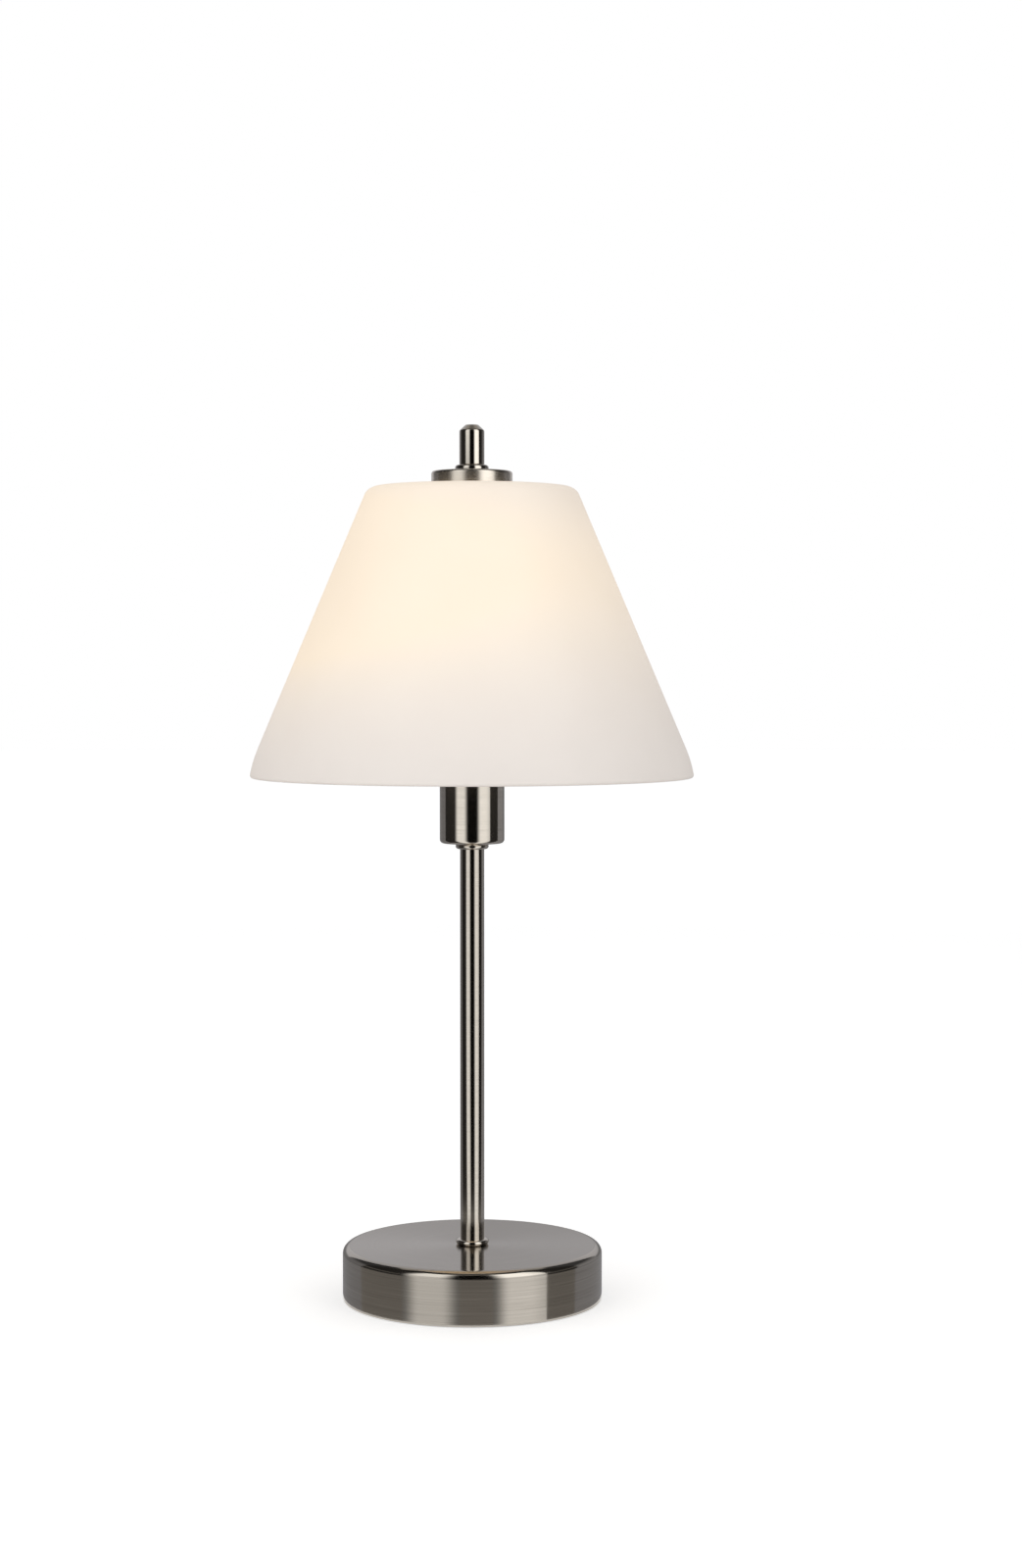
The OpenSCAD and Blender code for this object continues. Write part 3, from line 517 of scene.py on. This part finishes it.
class LAMP_OT_stage(bpy.types.Operator):
    """Lays the floor and sets the cards, the softboxes, the world and the camera"""

    bl_idname = "lamp.stage"
    bl_label = "Set the stage"

    def execute(self, context):
        stage = context.scene.lamp_stage
        self.camera(context, stage)
        self.world(context, stage)
        self.floor()
        self.panels(stage)
        self.cards()
        return {"FINISHED"}

    def camera(self, context, stage):
        """Puts the camera in front of the lamp, level with its shade."""
        data = bpy.data.cameras.new("Camera")
        data.lens = stage.lens
        data.sensor_width = 36
        camera = bpy.data.objects.new("Camera", data)
        context.scene.collection.objects.link(camera)
        camera.location = (0, -stage.eye_distance, stage.eye_height)
        camera.rotation_euler = (math.pi / 2 - stage.pitch, 0, -stage.yaw)
        context.scene.camera = camera
        context.scene.view_settings.view_transform = "Standard"

    def seen(self, tree):
        """1 for what the camera, metal and glass see, and 0 for what lights the lamp."""
        rays = node(tree, "ShaderNodeLightPath").outputs
        both = {0: rays["Is Camera Ray"], 1: rays["Is Glossy Ray"]}
        both = node(tree, "ShaderNodeMath", both, operation="ADD")
        every = {0: both, 1: rays["Is Transmission Ray"]}
        return node(tree, "ShaderNodeMath", every, operation="ADD", use_clamp=True)

    def world(self, context, stage):
        """Lights the lamp evenly from all round, less brightly than what the camera sees behind it."""
        world = bpy.data.worlds.new("Studio")
        context.scene.world = world
        world.use_nodes = True
        tree = world.node_tree
        tree.nodes.clear()
        levels = {0: self.seen(tree), 2: stage.ambient, 3: 1.0}
        strength = node(tree, "ShaderNodeMix", levels, data_type="FLOAT")
        sky = node(tree, "ShaderNodeBackground", {"Color": (1, 1, 1, 1), "Strength": strength})
        node(tree, "ShaderNodeOutputWorld", {"Surface": sky})

    def floor(self):
        """Lays a pale floor, which the camera sees brighter than it lights the lamp."""
        bm = bmesh.new()
        bmesh.ops.create_circle(bm, cap_ends=True, segments=96, radius=9)
        material, tree = blank("floor_paper")
        glow = node(tree, "ShaderNodeMath", {0: self.seen(tree), 1: 0.5}, operation="MULTIPLY")
        values = {
            "Base Color": (0.8, 0.8, 0.8, 1), "Roughness": 0.9, "Specular IOR Level": 0.1,
            "Emission Color": (1, 1, 1, 1), "Emission Strength": glow,
        }
        shader = node(tree, "ShaderNodeBsdfPrincipled", values)
        node(tree, "ShaderNodeOutputMaterial", {"Surface": shader})
        self.staged("floor", bm, material)

    def staged(self, name, bm, material):
        """Makes an object of the stage from a bmesh."""
        mesh = bpy.data.meshes.new(name)
        bm.to_mesh(mesh)
        bm.free()
        mesh.materials.append(material)
        made = bpy.data.objects.new(name, mesh)
        bpy.context.scene.collection.objects.link(made)
        return made

    def panels(self, stage):
        """Two tall softboxes beside the camera, turned to the lamp's shade."""
        tall, away, height, shade = 1.7, 1.9, 0.75, Vector((0, 0, 0.3))
        for side, name, wide in ((-1, "left", 1.25), (1, "right", 0.75)):
            data = bpy.data.lights.new(f"softbox_{name}", "AREA")
            data.shape = "RECTANGLE"
            data.size, data.size_y = wide, tall
            data.energy = stage.panel_power * wide * tall
            lamp = bpy.data.objects.new(f"softbox_{name}", data)
            bpy.context.scene.collection.objects.link(lamp)
            angle = math.radians(40 * side)
            spot = Vector((math.sin(angle) * away, -math.cos(angle) * away, height))
            lamp.location = spot
            lamp.rotation_euler = (shade - spot).to_track_quat("-Z", "Y").to_euler()
            lamp.visible_camera = False
            lamp.visible_glossy = False

    def arc(self, bm, radius, start, end):
        """An arc on the floor about the lamp, in degrees from the camera's side. Returns its edges."""
        spot = bm.verts.new(Matrix.Rotation(math.radians(start - 90), 4, "Z") @ Vector((radius, 0, MM)))
        spun(bm, [spot], math.radians(end - start), 24)
        return [edge for edge in bm.edges if all(abs(v.co.length - radius) < 1e-4 for v in edge.verts)]

    def ray(self, angle, start, end):
        """Where the light that a round mirror throws back at an angle reaches a wider ring."""
        if abs(angle) > 90:
            return angle
        return 2 * angle - math.degrees(math.asin(start / end * math.sin(math.radians(angle))))

    def cards(self):
        """Cards that only show in a shine: two lights with soft sides, dark ones in front and at the sides,
        grey ones behind and above. Each lies on the floor from beside the base and then stands up as a
        wall. Its wall has a strength at each of some heights, and its floor one beside the base. A light
        comes up at its left side, is full between two shares of its width, and falls to its last share."""
        warm, cool, white = (1, 0.94, 0.87, 1), (0.98, 0.97, 1.0, 1), (1, 0.99, 0.96, 1)
        black = ((0.2, 0.003), (0.5, 0.003))
        shut = ((0.2, 0.02), (0.33, 0.12), (0.45, 0.12), (0.52, 0.02))
        beside_left = ((0.2, 0.17), (0.5, 0.15), (0.9, 0.04))
        beside_right = ((0.2, 0.25), (0.5, 0.18), (0.9, 0.05))
        back_left = ((0.2, 0.2), (0.4, 0.55), (0.95, 0.56), (1.5, 0.45))
        back_right = ((0.2, 0.18), (0.4, 0.49), (0.95, 0.56), (1.5, 0.45))
        left_light = ((0.2, 0.95), (0.45, 0.62), (0.56, 0.62), (0.6, 1.15))
        right_light = ((0.2, 1.0), (0.45, 1.55))
        soft = {"left_light": (0.3, 0.68, 0.0), "right_light": (0.31, 0.65, 0.75)}
        for name, start, end, wall_start, wall_end, near, wall, tone in (
            ("front", -5.5, 9, -14, 15.5, 0.245, black, warm),
            ("left_light", -32, -5.5, -66, -14, 0.83, left_light, white),
            ("right_light", 9, 34.4, 15.5, 66.5, 1.05, right_light, white),
            ("left", -58, -32, -110, -66, 0.22, shut, warm),
            ("right", 34.4, 51.6, 66.5, 104, 0.21, shut, warm),
            ("beside_left", -90, -58, -140, -110, 0.26, beside_left, cool),
            ("beside_right", 51.6, 90, 104, 140, 0.29, beside_right, cool),
            ("back_left", -180, -90, -180, -140, 0.26, back_left, cool),
            ("back_right", 90, 180, 140, 180, 0.26, back_right, cool),
        ):
            bm = self.card_mesh(start, end, wall_start, wall_end, name in soft)
            self.card(name, bm, self.card_light(name, near, wall, tone, soft.get(name)))
        bm = bmesh.new()
        above = Matrix.Translation((0, 0, CARD_TOP))
        bmesh.ops.create_circle(bm, cap_ends=True, segments=64, radius=2.6, matrix=above)
        self.card("ceiling", bm, self.ceiling_light(warm))

    def card_mesh(self, start, end, wall_start, wall_end, measured):
        """A card's floor and wall. If it is measured, its points know their share of the card's width."""
        bm = bmesh.new()
        # On a round mirror a band has upright sides if they leave the rim at twice the rim's angle.
        bends = [self.ray(angle, CARD_RIM, CARD_BEND) for angle in (start, end)]
        first = self.arc(bm, CARD_RIM, start, end)
        middle = self.arc(bm, CARD_BEND, *bends)
        last = self.arc(bm, CARD_WALL, wall_start, wall_end)
        across = bm.verts.layers.float.new("across")
        for ring in (first, middle, last) if measured else ():
            turns = {v: math.degrees(math.atan2(v.co.x, -v.co.y)) for edge in ring for v in edge.verts}
            low, high = min(turns.values()), max(turns.values())
            for v, turn in turns.items():
                v[across] = (turn - low) / (high - low)
        bmesh.ops.bridge_loops(bm, edges=first + middle)
        bmesh.ops.bridge_loops(bm, edges=middle + last)
        made = bmesh.ops.extrude_edge_only(bm, edges=last)
        top = [v for v in made["geom"] if isinstance(v, bmesh.types.BMVert)]
        bmesh.ops.translate(bm, verts=top, vec=(0, 0, CARD_TOP))
        return bm

    def card_light(self, name, near, wall, tone, sides):
        """A card's light, by its distance from the lamp, its height and its share of the width."""
        material, tree = blank(f"card_{name}")
        _, radius, height = round_place(tree)
        outwards = {"Value": radius, "From Min": 0.2, "From Max": 0.24}
        strength = node(tree, "ShaderNodeMapRange", {**outwards, "To Min": near, "To Max": wall[0][1]})
        for (low, below), (high, above) in zip(wall, wall[1:]):
            rise = {"Value": height, "From Min": low, "From Max": high, "To Max": above - below}
            rise = node(tree, "ShaderNodeMapRange", rise)
            strength = node(tree, "ShaderNodeMath", {0: strength, 1: rise}, operation="ADD")
        if sides:
            full_from, full_to, last_share = sides
            spot = node(tree, "ShaderNodeAttribute", attribute_name="across").outputs["Fac"]
            rise = {"Value": spot, "From Max": full_from}
            rise = node(tree, "ShaderNodeMapRange", rise, interpolation_type="SMOOTHSTEP")
            fall = {"Value": spot, "From Min": full_to, "To Min": 1.0, "To Max": last_share}
            fall = node(tree, "ShaderNodeMapRange", fall, interpolation_type="SMOOTHSTEP")
            part = node(tree, "ShaderNodeMath", {0: rise, 1: fall}, operation="MULTIPLY")
            dark = node(tree, "ShaderNodeMapRange", {**outwards, "To Min": 0.24, "To Max": 0.01})
            strength = node(tree, "ShaderNodeMix", {0: part, 2: dark, 3: strength}, data_type="FLOAT")
        shader = node(tree, "ShaderNodeEmission", {"Color": tone, "Strength": strength})
        node(tree, "ShaderNodeOutputMaterial", {"Surface": shader})
        return material

    def ceiling_light(self, tone):
        """The light of the card above: dark over a strip in front of the lamp, and grey beside it."""
        material, tree = blank("card_ceiling")
        place = node(tree, "ShaderNodeTexCoord").outputs["Object"]
        depth = node(tree, "ShaderNodeSeparateXYZ", {0: place}).outputs["Y"]
        away = node(tree, "ShaderNodeMath", {0: depth, 1: 0.5}, operation="ADD")
        away = node(tree, "ShaderNodeMath", {0: away}, operation="ABSOLUTE")
        strength = {"Value": away, "From Min": 0.7, "From Max": 1.3, "To Min": 0.02, "To Max": 0.33}
        strength = node(tree, "ShaderNodeMapRange", strength)
        shader = node(tree, "ShaderNodeEmission", {"Color": tone, "Strength": strength})
        node(tree, "ShaderNodeOutputMaterial", {"Surface": shader})
        return material

    def card(self, name, bm, material):
        """Stands a card up where it only shows in a shine."""
        card = self.staged(f"card_{name}", bm, material)
        for ray in ("camera", "diffuse", "shadow", "transmission", "volume_scatter"):
            setattr(card, f"visible_{ray}", False)


class LAMP_OT_base(bpy.types.Operator):
    """Turns the base's cover with its rolled rim and rounded top edge"""

    bl_idname = "lamp.base"
    bl_label = "Base cover"

    def execute(self, context):
        s = sizes()
        r, h, t = s.base_radius, s.base_height, 1.2 * MM
        low = foot("base_shell")
        corners = [
            (ROD_HOLE, h, 0), (ROD_HOLE, h - t, 0), (r - t, h - t, s.base_rounding - t),
            (r - t, low, 0.3 * MM), (r, low, 0.5 * MM), (r, h, s.base_rounding),
        ]
        # Painted shade: the side's nickel is painted a little darker than plain nickel.
        side = {"roughness": 0.15, "stretch": 0.85, "painted_brightness": 0.92, "depth": 0.0003 * MM}
        nickel = satin_nickel("satin_nickel_base", 0.5 * MM, 0.9, flat_from=h - 2.2 * MM, **side)
        # Hands and cloths polish the rounded edge, so it gives a sharp light line over the matt side. Its
        # nickel is also painted brighter than the side's: a painted highlight.
        worn_edge_and_highlight = satin_nickel("nickel_worn_edge_and_highlight", 0.5 * MM, 0.3, roughness=0.13, stretch=0.4, painted_brightness=1.15)
        bm = turned_mesh(corners, steps=192)
        for face in bm.faces:
            face.material_index = int(0.1 < face.normal.z < 0.985)
        # A square window for the cord's bush is cut at the back.
        half = 4.2 * MM
        for z in (INLET_HEIGHT - half, INLET_HEIGHT + half):
            geom = bm.verts[:] + bm.edges[:] + bm.faces[:]
            bmesh.ops.bisect_plane(bm, geom=geom, dist=1e-7, plane_co=(0, 0, z), plane_no=AXIS)
        window = []
        for face in bm.faces:
            middle = face.calc_center_median()
            inside = abs(middle.x) < half and abs(middle.z - INLET_HEIGHT) < half
            if inside and middle.y > 0 and abs(face.normal.z) < 0.5:
                window.append(face)
        rim = {e for f in window for e in f.edges if len([g for g in e.link_faces if g in window]) == 1}
        bmesh.ops.delete(bm, geom=window, context="FACES_ONLY")
        bmesh.ops.bridge_loops(bm, edges=list(rim))
        bmesh.ops.delete(bm, geom=[e for e in bm.edges if not e.link_faces], context="EDGES")
        bmesh.ops.recalc_face_normals(bm, faces=bm.faces[:])
        piece("base_cover", bm, "lamp", "base_shell", nickel, worn_edge_and_highlight)
        return {"FINISHED"}


class LAMP_OT_stem(bpy.types.Operator):
    """Draws the tube and turns the two collars that it stands between"""

    bl_idname = "lamp.stem"
    bl_label = "Stem and collars"

    def execute(self, context):
        s = sizes()
        # Painted light: the stem's nickel and the collars' polished nickel are painted brighter than plain
        # nickel.
        nickel = satin_nickel("satin_nickel_stem", 0.7 * MM, 0.5, roughness=0.12, stretch=0.6, painted_brightness=1.24)
        rings = polished_nickel()
        low, high, hole = foot("stem_tube"), head("stem_tube"), ROD_HOLE
        end = 0.6 * MM
        corners = [(hole, low, 0), (s.stem_radius, low, end), (s.stem_radius, high, end), (hole, high, 0)]
        piece("stem", turned_mesh(corners, steps=96), "lamp", "stem_tube", nickel)
        for name, cad, seat, rim in (
            ("foot_ring", "foot_collar", foot("foot_collar"), head("foot_collar")),
            ("cup_ring", "top_collar", head("top_collar"), foot("top_collar")),
        ):
            bead = abs(rim - seat) / 2 - FIT
            step = 0.7 * MM if rim > seat else -0.7 * MM
            neck = s.stem_radius + FIT
            corners = [
                (hole, seat, 0), (s.collar_radius, seat, bead), (s.collar_radius, rim, bead),
                (neck, rim, 0), (neck, rim - step, 0), (hole, rim - step, 0),
            ]
            piece(name, turned_mesh(corners, steps=96), "lamp", cad, rings)
        return {"FINISHED"}


class LAMP_OT_cup(bpy.types.Operator):
    """Turns the cup that hides the lampholder's foot"""

    bl_idname = "lamp.cup"
    bl_label = "Cup"

    def execute(self, context):
        s = sizes()
        r, t, hole = s.cup_radius, 1 * MM, ROD_HOLE
        corners = [
            (hole, s.cup_foot, 0), (r, s.cup_foot, 2 * MM), (r, s.cup_head, 0.3 * MM),
            (r - t, s.cup_head, 0.3 * MM), (r - t, s.cup_foot + t, 1 * MM),
            (hole, s.cup_foot + t, 0),
        ]
        # Painted light: the cup's nickel is painted brighter than plain nickel.
        nickel = satin_nickel("satin_nickel_cup", 0.7 * MM, 0.6, roughness=0.11, stretch=0.6, painted_brightness=1.42)
        piece("cup", turned_mesh(corners), "lamp", "socket_cup", nickel)
        return {"FINISHED"}


class LAMP_OT_shade(bpy.types.Operator):
    """Blows the opal glass cone with its rounded top edge and its lip"""

    bl_idname = "lamp.shade"
    bl_label = "Glass shade"

    def execute(self, context):
        s = sizes()
        rim, top, t, hole = s.shade_rim, s.shade_top, s.glass, 5.5 * MM
        # The cone's side leads from the top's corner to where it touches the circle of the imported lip.
        lip_r = s.shade_radius - s.shade_lip
        lip_z = rim + t / 2
        run, rise = lip_r - s.cone_top, top - lip_z
        slope = math.atan(run / rise) + math.asin(s.shade_lip / math.hypot(run, rise))
        side = lip_r + s.shade_lip * math.cos(slope)
        side_z = lip_z + s.shade_lip * math.sin(slope)

        def out(z, inset=0.0):
            """The radius of the cone's outside at a height, or of a face inset from it."""
            return side - inset / math.cos(slope) - (z - side_z) * math.tan(slope)

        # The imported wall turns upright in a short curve. The real one has a longer curve that stops short.
        lean, lip_bend, polish = math.radians(12), 45 * MM, t / 2 - FIT
        brim = s.shade_radius + polish * (math.tan(lean) + 1 / math.cos(lean) - 1)

        def lip(inset=0.0):
            """The radius and height at which the cone meets the steeper lip."""
            gap = out(rim, inset) - (brim - inset / math.cos(lean))
            z = rim + gap / (math.tan(slope) - math.tan(lean))
            return out(z, inset), z

        corners = [
            (hole, top, 0.4 * MM), (out(top), top, s.shade_edge), (*lip(), lip_bend),
            (brim, rim, polish), (brim - t / math.cos(lean), rim, polish), (*lip(t), lip_bend - t),
            (out(top - t, t), top - t, s.shade_edge - t), (hole, top - t, 0.4 * MM),
        ]
        bm = turned_mesh(corners, steps=192)
        for face in bm.faces:
            middle = face.calc_center_median()
            inward = face.normal.x * middle.x + face.normal.y * middle.y < 0
            face.material_index = int(inward or face.normal.z < -0.99)
        outside = tuple(colours().glass_low)
        glass = [
            opal_glass("opal_glass_etched", 0.5, outside, 1.0),
            # Painted shade: the inside is painted darker and with less painted glow than the outside; its
            # smoother finish is real.
            opal_glass("opal_glass_inside", 0.12, shade_of(outside, 0.72), 0.6),
        ]
        piece("opal_shade", bm, "shade", "glass_shade", *glass)
        return {"FINISHED"}


class LAMP_OT_cap(bpy.types.Operator):
    """Turns the pressed cap, the finial's collar and the finial"""

    bl_idname = "lamp.cap"
    bl_label = "Cap and finial"

    def execute(self, context):
        s = sizes()
        # Painted light: the cap's nickel and the finial's polished nickel are painted brighter than plain
        # nickel.
        nickel = satin_nickel("satin_nickel_cap", 0.6 * MM, 0.6, roughness=0.26, stretch=0.4, painted_brightness=1.45)
        bright = polished_nickel()
        r, low, high, t = s.cap_radius, foot("shade_cap"), head("shade_cap"), 1.2 * MM
        corners = [
            (r - t, low, 0), (r, low, 0.3 * MM), (r, high, 1.4 * MM), (STUD_HOLE, high, 0),
            (STUD_HOLE, high - t, 0), (r - t, high - t, 0.2 * MM),
        ]
        piece("cap", turned_mesh(corners), "shade", "shade_cap", nickel)
        low, high, ring = span("finial_collar")
        bore = 4.05 * MM
        corners = [(bore, low, 0), (ring, low, 0.8 * MM), (ring, high, 1.3 * MM), (bore, high, 0)]
        bm = turned_mesh(corners, steps=96)
        piece("finial_ring", bm, "finial_collar", "finial_collar", bright)
        seat, tip, knob = foot("finial"), head("finial"), s.knob_radius
        bore, neck, shoulder, bore_top = 3 * MM, 4 * MM, high + FIT, seat + 13.9 * MM
        corners = [
            (bore, seat, 0), (neck, seat, 0), (neck, shoulder, 0), (knob, shoulder, 0.4 * MM),
            (knob, tip - 2.8 * MM, 1.2 * MM), (3.1 * MM, tip, 0.7 * MM), (0, tip, 0),
            (0, bore_top, 0), (bore, bore_top, 0),
        ]
        piece("finial_knob", turned_mesh(corners, steps=96), "finial", "finial", bright)
        return {"FINISHED"}


class LAMP_OT_harp(bpy.types.Operator):
    """Bends the wire harp and turns its block, its threaded stud and the seat of the glass"""

    bl_idname = "lamp.harp"
    bl_label = "Harp and seat"

    def execute(self, context):
        s = sizes()
        # The wire's legs stand this far from the axis at the saddle, and the bow round the bulb.
        leg, bow, low = 13.3 * MM, 27 * MM, foot("harp_wire")
        run_z = s.harp_shoulder - 6 * MM
        bend, bend_z = 16 * MM, s.cup_head + 3 * MM
        angle = math.acos(1 - (bow - leg) / (2 * bend))
        bow_z = bend_z + 2 * bend * math.sin(angle)
        run_x = 6.5 * MM
        top = run_z - (bow - run_x)
        turn = math.degrees(angle)
        moves = [
            Vector((0, 0, bend_z - low)),
            ((leg + bend, 0, bend_z), (0, 1, 0), turn),
            ((bow - bend, 0, bow_z), (0, 1, 0), -turn),
            Vector((0, 0, top - bow_z)),
            ((run_x, 0, top), (0, 1, 0), -90),
            Vector((-run_x, 0, 0)),
        ]
        bm = drawn_mesh(s.harp_wire, (leg, 0, low), AXIS, moves)
        bmesh.ops.mirror(bm, geom=bm.verts[:] + bm.edges[:] + bm.faces[:], axis="X", merge_dist=1e-5)
        bmesh.ops.remove_doubles(bm, verts=bm.verts[:], dist=1e-6)
        bmesh.ops.holes_fill(bm, edges=bm.edges[:], sides=0)
        bmesh.ops.recalc_face_normals(bm, faces=bm.faces[:])
        piece("harp", bm, "lamp", "harp_wire")
        base, shoulder, tip = foot("harp_stud"), s.harp_shoulder, head("harp_stud")
        block, root = 5 * MM, 2.5 * MM
        corners = [
            (0, base, 0), (block, base, 0.8 * MM), (block, shoulder, 0.4 * MM), (root, shoulder, 0),
            (root, tip, 0.6 * MM), (0, tip, 0),
        ]
        bm = turned_mesh(corners, closed=False, steps=64)
        add_thread(bm, root, 2.93 * MM, 1 * MM, shoulder - 0.5 * MM, 23)
        piece("harp_block", bm, "lamp", "harp_stud")
        lip, plate, r = span("seat_plate")
        hole, t = STUD_HOLE, 1.2 * MM
        corners = [
            (hole, plate, 0), (hole, plate - t, 0), (r - t, plate - t, 0.6 * MM), (r - t, lip, 0),
            (r, lip, 0.2 * MM), (r, plate, 1 * MM),
        ]
        piece("shade_seat", turned_mesh(corners), "lamp", "seat_plate")
        low, high, r = span("seat_washer")
        corners = [(hole, low, 0), (r, low, 0.4 * MM), (r, high, 0.4 * MM), (hole, high, 0)]
        piece("seat_ring", turned_mesh(corners), "lamp", "seat_washer")
        return {"FINISHED"}


class LAMP_OT_holder(bpy.types.Operator):
    """Moulds the lampholder's skirt and rolls its threaded contact"""

    bl_idname = "lamp.holder"
    bl_label = "Lampholder"

    def execute(self, context):
        low, high, r = span("holder_skirt")
        inner, mouth = r - 1.6 * MM, 8.35 * MM
        corners = [(inner, low, 0), (r, low, 0.4 * MM)]
        # Four grooves for the grip, 0.3 mm deep, from the lowest up.
        for k in range(4):
            z = high - (3.2 + 1.8 * (3 - k)) * MM
            for inset, up in ((0, -0.35), (0.3, -0.1), (0.3, 0.1), (0, 0.35)):
                corners.append((r - inset * MM, z + up * MM, 0.1 * MM))
        corners += [(r, high, 1 * MM), (mouth, high, 0.5 * MM)]
        corners += [(mouth, high - 2 * MM, 0), (inner, high - 3.5 * MM, 0)]
        piece("lampholder_skirt", turned_mesh(corners), "lamp", "holder_skirt")
        low, high, r = span("screw_contact")
        t, hole, bottom = 0.15 * MM, 3.2 * MM, low + 0.4 * MM
        corners = [
            (hole, low, 0), (r, low, 0.6 * MM), (r, high, 0), (r - t, high, 0),
            (r - t, bottom, 0.3 * MM), (hole, bottom, 0),
        ]
        bm = turned_mesh(corners)
        add_thread(bm, r - t, r - 0.38 * MM, BULB_PITCH, low + 3 * MM, 6.5)
        piece("screw_shell", bm, "lamp", "screw_contact")
        return {"FINISHED"}


class LAMP_OT_bulb(bpy.types.Operator):
    """Blows the frosted candle bulb and rolls its screw cap"""

    bl_idname = "lamp.bulb"
    bl_label = "Bulb"

    def execute(self, context):
        low, high = foot("bulb_cap"), head("bulb_cap")
        root, skirt, seat = 6.5 * MM, 6.9 * MM, high - 2.1 * MM
        corners = [
            (0, low, 0), (4.8 * MM, low, 0.5 * MM), (root, low + 2.6 * MM, 0.8 * MM),
            (root, high - 3.2 * MM, 0.3 * MM), (skirt, high - 2.8 * MM, 0.2 * MM),
            (skirt, high, 0.2 * MM), (root, high, 0), (root, seat, 0), (0, seat, 0),
        ]
        bm = turned_mesh(corners, closed=False, steps=80)
        add_thread(bm, root, 6.93 * MM, BULB_PITCH, low + 2.4 * MM, 3.3, steps=64)
        piece("bulb_screw_cap", bm, "bulb", "bulb_cap")
        base, tip, wide = span("bulb_glass")
        tall, neck = tip - base, 6.4 * MM
        corners = [
            (0, base, 0), (neck, base, 0), (neck, base + 5 * MM, 8 * MM),
            (wide, base + 0.3 * tall, 18 * MM), (wide, base + 0.56 * tall, 30 * MM),
            (0.63 * wide, base + 0.84 * tall, 40 * MM), (3.2 * MM, tip, 3 * MM), (0, tip, 0),
        ]
        bm = turned_mesh(corners, closed=False)
        piece("candle_bulb", bm, "bulb", "bulb_glass", frosted_bulb())
        return {"FINISHED"}


class LAMP_OT_trim(bpy.types.Operator):
    """Moulds the cord's bush and the clear gasket under the cap"""

    bl_idname = "lamp.trim"
    bl_label = "Bush and gasket"

    def execute(self, context):
        bore, neck, flange, front = 3.3 * MM, 4.4 * MM, 5.5 * MM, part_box("cord_grommet")[0].y
        groove, lip, end = 1.7 * MM, 3.35 * MM, 5 * MM
        corners = [
            (bore, 0, 0.3 * MM), (flange, 0, 0.3 * MM), (flange, groove, 0.3 * MM), (neck, groove, 0),
            (neck, lip, 0), (6 * MM, lip, 0.4 * MM), (5.2 * MM, end, 0.6 * MM), (bore, end, 0.5 * MM),
        ]
        bm = turned_mesh(corners, steps=72)
        place = Matrix.Translation((0, front, INLET_HEIGHT)) @ Matrix.Rotation(math.radians(-90), 4, "X")
        bmesh.ops.transform(bm, matrix=place, verts=bm.verts[:])
        piece("cord_bush", bm, "lamp", "cord_grommet")
        low, high, r = span("top_gasket")
        hole = 7 * MM
        corners = [(hole, low, 0), (r, low, 0.3 * MM), (r, high, 0.3 * MM), (hole, high, 0)]
        piece("cap_gasket", turned_mesh(corners), "shade", "top_gasket")
        return {"FINISHED"}


class LAMP_OT_fittings(bpy.types.Operator):
    """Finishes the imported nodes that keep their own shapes"""

    bl_idname = "lamp.fittings"
    bl_label = "Fittings"

    def execute(self, context):
        for name, thing in frame["nodes"].items():
            if not thing.hide_render:
                thing.data.materials.clear()
                thing.data.materials.append(finish_of(SLOTS[name]))
        return {"FINISHED"}


class LAMP_PT_panel(bpy.types.Panel):
    """Lists the steps that build the lamp"""

    bl_label = "Table lamp"
    bl_idname = "LAMP_PT_panel"
    bl_space_type = "VIEW_3D"
    bl_region_type = "UI"
    bl_category = "Lamp"

    def draw(self, context):
        for step in STEPS:
            self.layout.operator(step.bl_idname)


STEPS = (
    LAMP_OT_stage,
    LAMP_OT_base,
    LAMP_OT_stem,
    LAMP_OT_cup,
    LAMP_OT_shade,
    LAMP_OT_cap,
    LAMP_OT_harp,
    LAMP_OT_holder,
    LAMP_OT_bulb,
    LAMP_OT_trim,
    LAMP_OT_fittings,
)
GROUPS = {"lamp_sizes": LampSizes, "lamp_colours": LampColours, "lamp_stage": LampStage}


def register():
    for one in (*GROUPS.values(), *STEPS, LAMP_PT_panel):
        bpy.utils.register_class(one)
    for name, group in GROUPS.items():
        setattr(bpy.types.Scene, name, bpy.props.PointerProperty(type=group))


def unregister():
    for name in GROUPS:
        delattr(bpy.types.Scene, name)
    for one in (LAMP_PT_panel, *reversed(STEPS), *reversed(GROUPS.values())):
        bpy.utils.unregister_class(one)


def main():
    # Blender starts with a cube, a light and a camera of its own.
    for thing in list(bpy.data.objects):
        if thing.name in ("Cube", "Light", "Camera") and "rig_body" not in thing:
            bpy.data.objects.remove(thing)
    register()
    bpy.ops.lamp.stage()
    bpy.ops.lamp.base()
    bpy.ops.lamp.stem()
    bpy.ops.lamp.cup()
    bpy.ops.lamp.shade()
    bpy.ops.lamp.cap()
    bpy.ops.lamp.harp()
    bpy.ops.lamp.holder()
    bpy.ops.lamp.bulb()
    bpy.ops.lamp.trim()
    bpy.ops.lamp.fittings()


if __name__ == "__main__":
    main()
